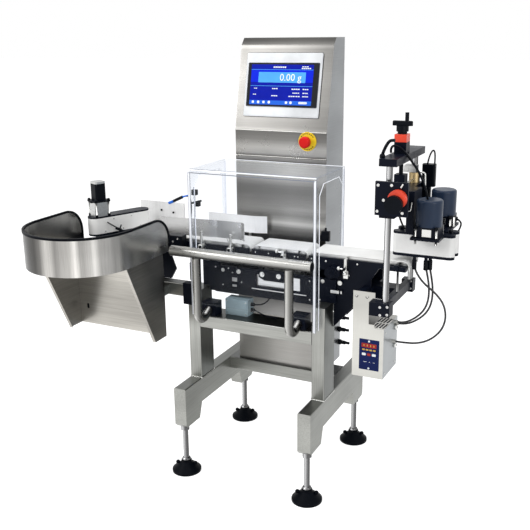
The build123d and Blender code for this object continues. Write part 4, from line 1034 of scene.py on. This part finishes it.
# Painted highlight: a white plate on the controller top, under the vent slots, stands in for a bright reflection
top_glare_plate = Kit("controller_top_painted_highlight", glare_white, "white_plastic")
top_glare_plate.block((446, -148, 660), (491, -30, 660.8), 0.3)
top_glare_plate.done()
vents = Kit("controller_vents", ink_black, "black_plastic")
for row in range(2):
    for k in range(4):
        vents.slanted((453 + 11 * k - 2 * row, -119 + 58 * row, 660.9), (6.0, 48, 0.6), (0, 0, -4), 0)
for x in (393, 430):
    vents.slanted((x - 2.6, -152.3, 767), (1.8, 0.6, 8), (0, -40, 0), 0)
    vents.slanted((x + 2.6, -152.3, 767), (1.8, 0.6, 8), (0, 40, 0), 0)
vents.done()
controller_screws = Kit("controller_screws", zinc, "bright_metal")
for x in (393, 430):
    controller_screws.screw((x, -151, 768), radius=3.0, high=1.0)
for y, z in ((-130, 492), (-130, 640), (-10, 492), (-10, 640)):
    controller_screws.screw((492, y, z), (1, 0, 0), 3, 1.6)
for y, z in ((-20, 626), (-24, 560)):
    controller_screws.turned([(3.7, 0), (9, 0), (9, 6), (7, 9), (3.7, 9)], (492, y, z), (1, 0, 0), 20)
controller_screws.done()


# Stand: weld beads, lumps on the pads and the threads of the stems

beads = Kit("weld_beads", zinc, "stainless")
for x in (-253, 253):
    ring = ((x - 26, -154.5), (x + 26, -154.5), (x + 26, -53), (x - 26, -53))
    for (xa, ya), (xb, yb) in zip(ring, ring[1:] + ring[:1]):
        beads.rod((xa, ya, 353.6), (xb, yb, 353.6), 1.7, 8)
for x, way in ((-227.4, 1), (227.4, -1)):
    beads.rod((x, -146, 612.4), (x, -56, 612.4), 1.3, 8)
beads.done()

lumps = Kit("pad_lumps", black_rubber, "black_rubber")
threads = Kit("stem_threads", stem_chrome, "chrome")
for x in (-253, 253):
    for y in (-249, 249):
        for side in (-1, 1):
            lumps.turned([(0, 0), (8, 0), (8.5, 4), (6.5, 8), (3, 10), (0, 10.4)],
                         (x + 33 * side, y + 10 * side, 28))
        threads.turned([(10.6, 0), (16, 0), (17.5, 4), (15, 9), (10.6, 11)], (x, y, 45))
        for z in range(60, 188, 3):
            threads.turned([(10.4, 0), (10.9, 0.8), (10.4, 1.6)], (x, y, z), (0, 0, 1), 20)
lumps.done()
threads.done()

column_glands = Kit("column_glands", black_mould, "black_plastic")
for y, z in ((248, 530), (250, 478), (258, 420)):
    column_glands.turned([(0, 0), (11, 0), (11, 8), (8, 10), (8, 26), (5.5, 30), (5.5, 44), (0, 46)], (180, y, z),
                         (1, 0, 0), 24)
column_glands.done()


# Floor, background and light

scene = bpy.context.scene
scene.view_settings.view_transform = "Standard"

floor_mesh = bpy.data.meshes.new("floor")
bm = bmesh.new()
bmesh.ops.create_grid(bm, x_segments=1, y_segments=1, size=45)
bm.to_mesh(floor_mesh)
bm.free()
floor = bpy.data.objects.new("floor", floor_mesh)
floor.location = (0, 0, -0.0005)
scene.collection.objects.link(floor)


def seen_directly(tree):
    """1 for rays from the camera, in a mirror and through glass."""
    path = tree.nodes.new("ShaderNodeLightPath")
    total = None
    for key in ("Is Camera Ray", "Is Glossy Ray", "Is Transmission Ray"):
        if total is None:
            total = path.outputs[key]
            continue
        most = tree.nodes.new("ShaderNodeMath")
        most.operation = "MAXIMUM"
        tree.links.new(total, most.inputs[0])
        tree.links.new(path.outputs[key], most.inputs[1])
        total = most.outputs[0]
    return total


floor_mat = bpy.data.materials.new("floor_paper")
floor_mat.use_nodes = True
tree = floor_mat.node_tree
paper = tree.nodes["Principled BSDF"]
paper.inputs["Base Color"].default_value = (0.55, 0.55, 0.55, 1)
paper.inputs["Roughness"].default_value = 0.9
shine = tree.nodes.new("ShaderNodeEmission")
shine.inputs["Color"].default_value = (1, 1, 1, 1)
both = tree.nodes.new("ShaderNodeAddShader")
strength = tree.nodes.new("ShaderNodeMath")
strength.operation = "MULTIPLY"
strength.inputs[1].default_value = 0.78
tree.links.new(seen_directly(tree), strength.inputs[0])
tree.links.new(strength.outputs[0], shine.inputs["Strength"])
tree.links.new(paper.outputs[0], both.inputs[0])
tree.links.new(shine.outputs[0], both.inputs[1])
tree.links.new(both.outputs[0], tree.nodes["Material Output"].inputs["Surface"])
floor.data.materials.append(floor_mat)

world = bpy.data.worlds.new("studio")
scene.world = world
world.use_nodes = True
tree = world.node_tree
backdrop = tree.nodes["Background"]
backdrop.inputs["Color"].default_value = (1, 1, 1, 1)
level = tree.nodes.new("ShaderNodeMapRange")
level.inputs["To Min"].default_value = 0.42
level.inputs["To Max"].default_value = 1.0
tree.links.new(seen_directly(tree), level.inputs["Value"])
tree.links.new(level.outputs["Result"], backdrop.inputs["Strength"])


def lamp(name, where, target, size, power):
    data = bpy.data.lights.new(name, "AREA")
    data.shape = "RECTANGLE"
    data.size, data.size_y = size
    data.energy = power
    obj = bpy.data.objects.new(name, data)
    obj.location = where
    obj.rotation_euler = (Vector(target) - Vector(where)).to_track_quat("-Z", "Y").to_euler()
    scene.collection.objects.link(obj)


lamp("key", (-2.6, -3.0, 3.4), (0, 0, 0.9), (2.2, 2.2), 120)
lamp("fill", (3.4, -2.2, 2.2), (0, 0, 0.9), (2.0, 2.6), 60)
lamp("top", (0, 0.2, 4.2), (0, 0, 0.8), (3.0, 3.0), 70)
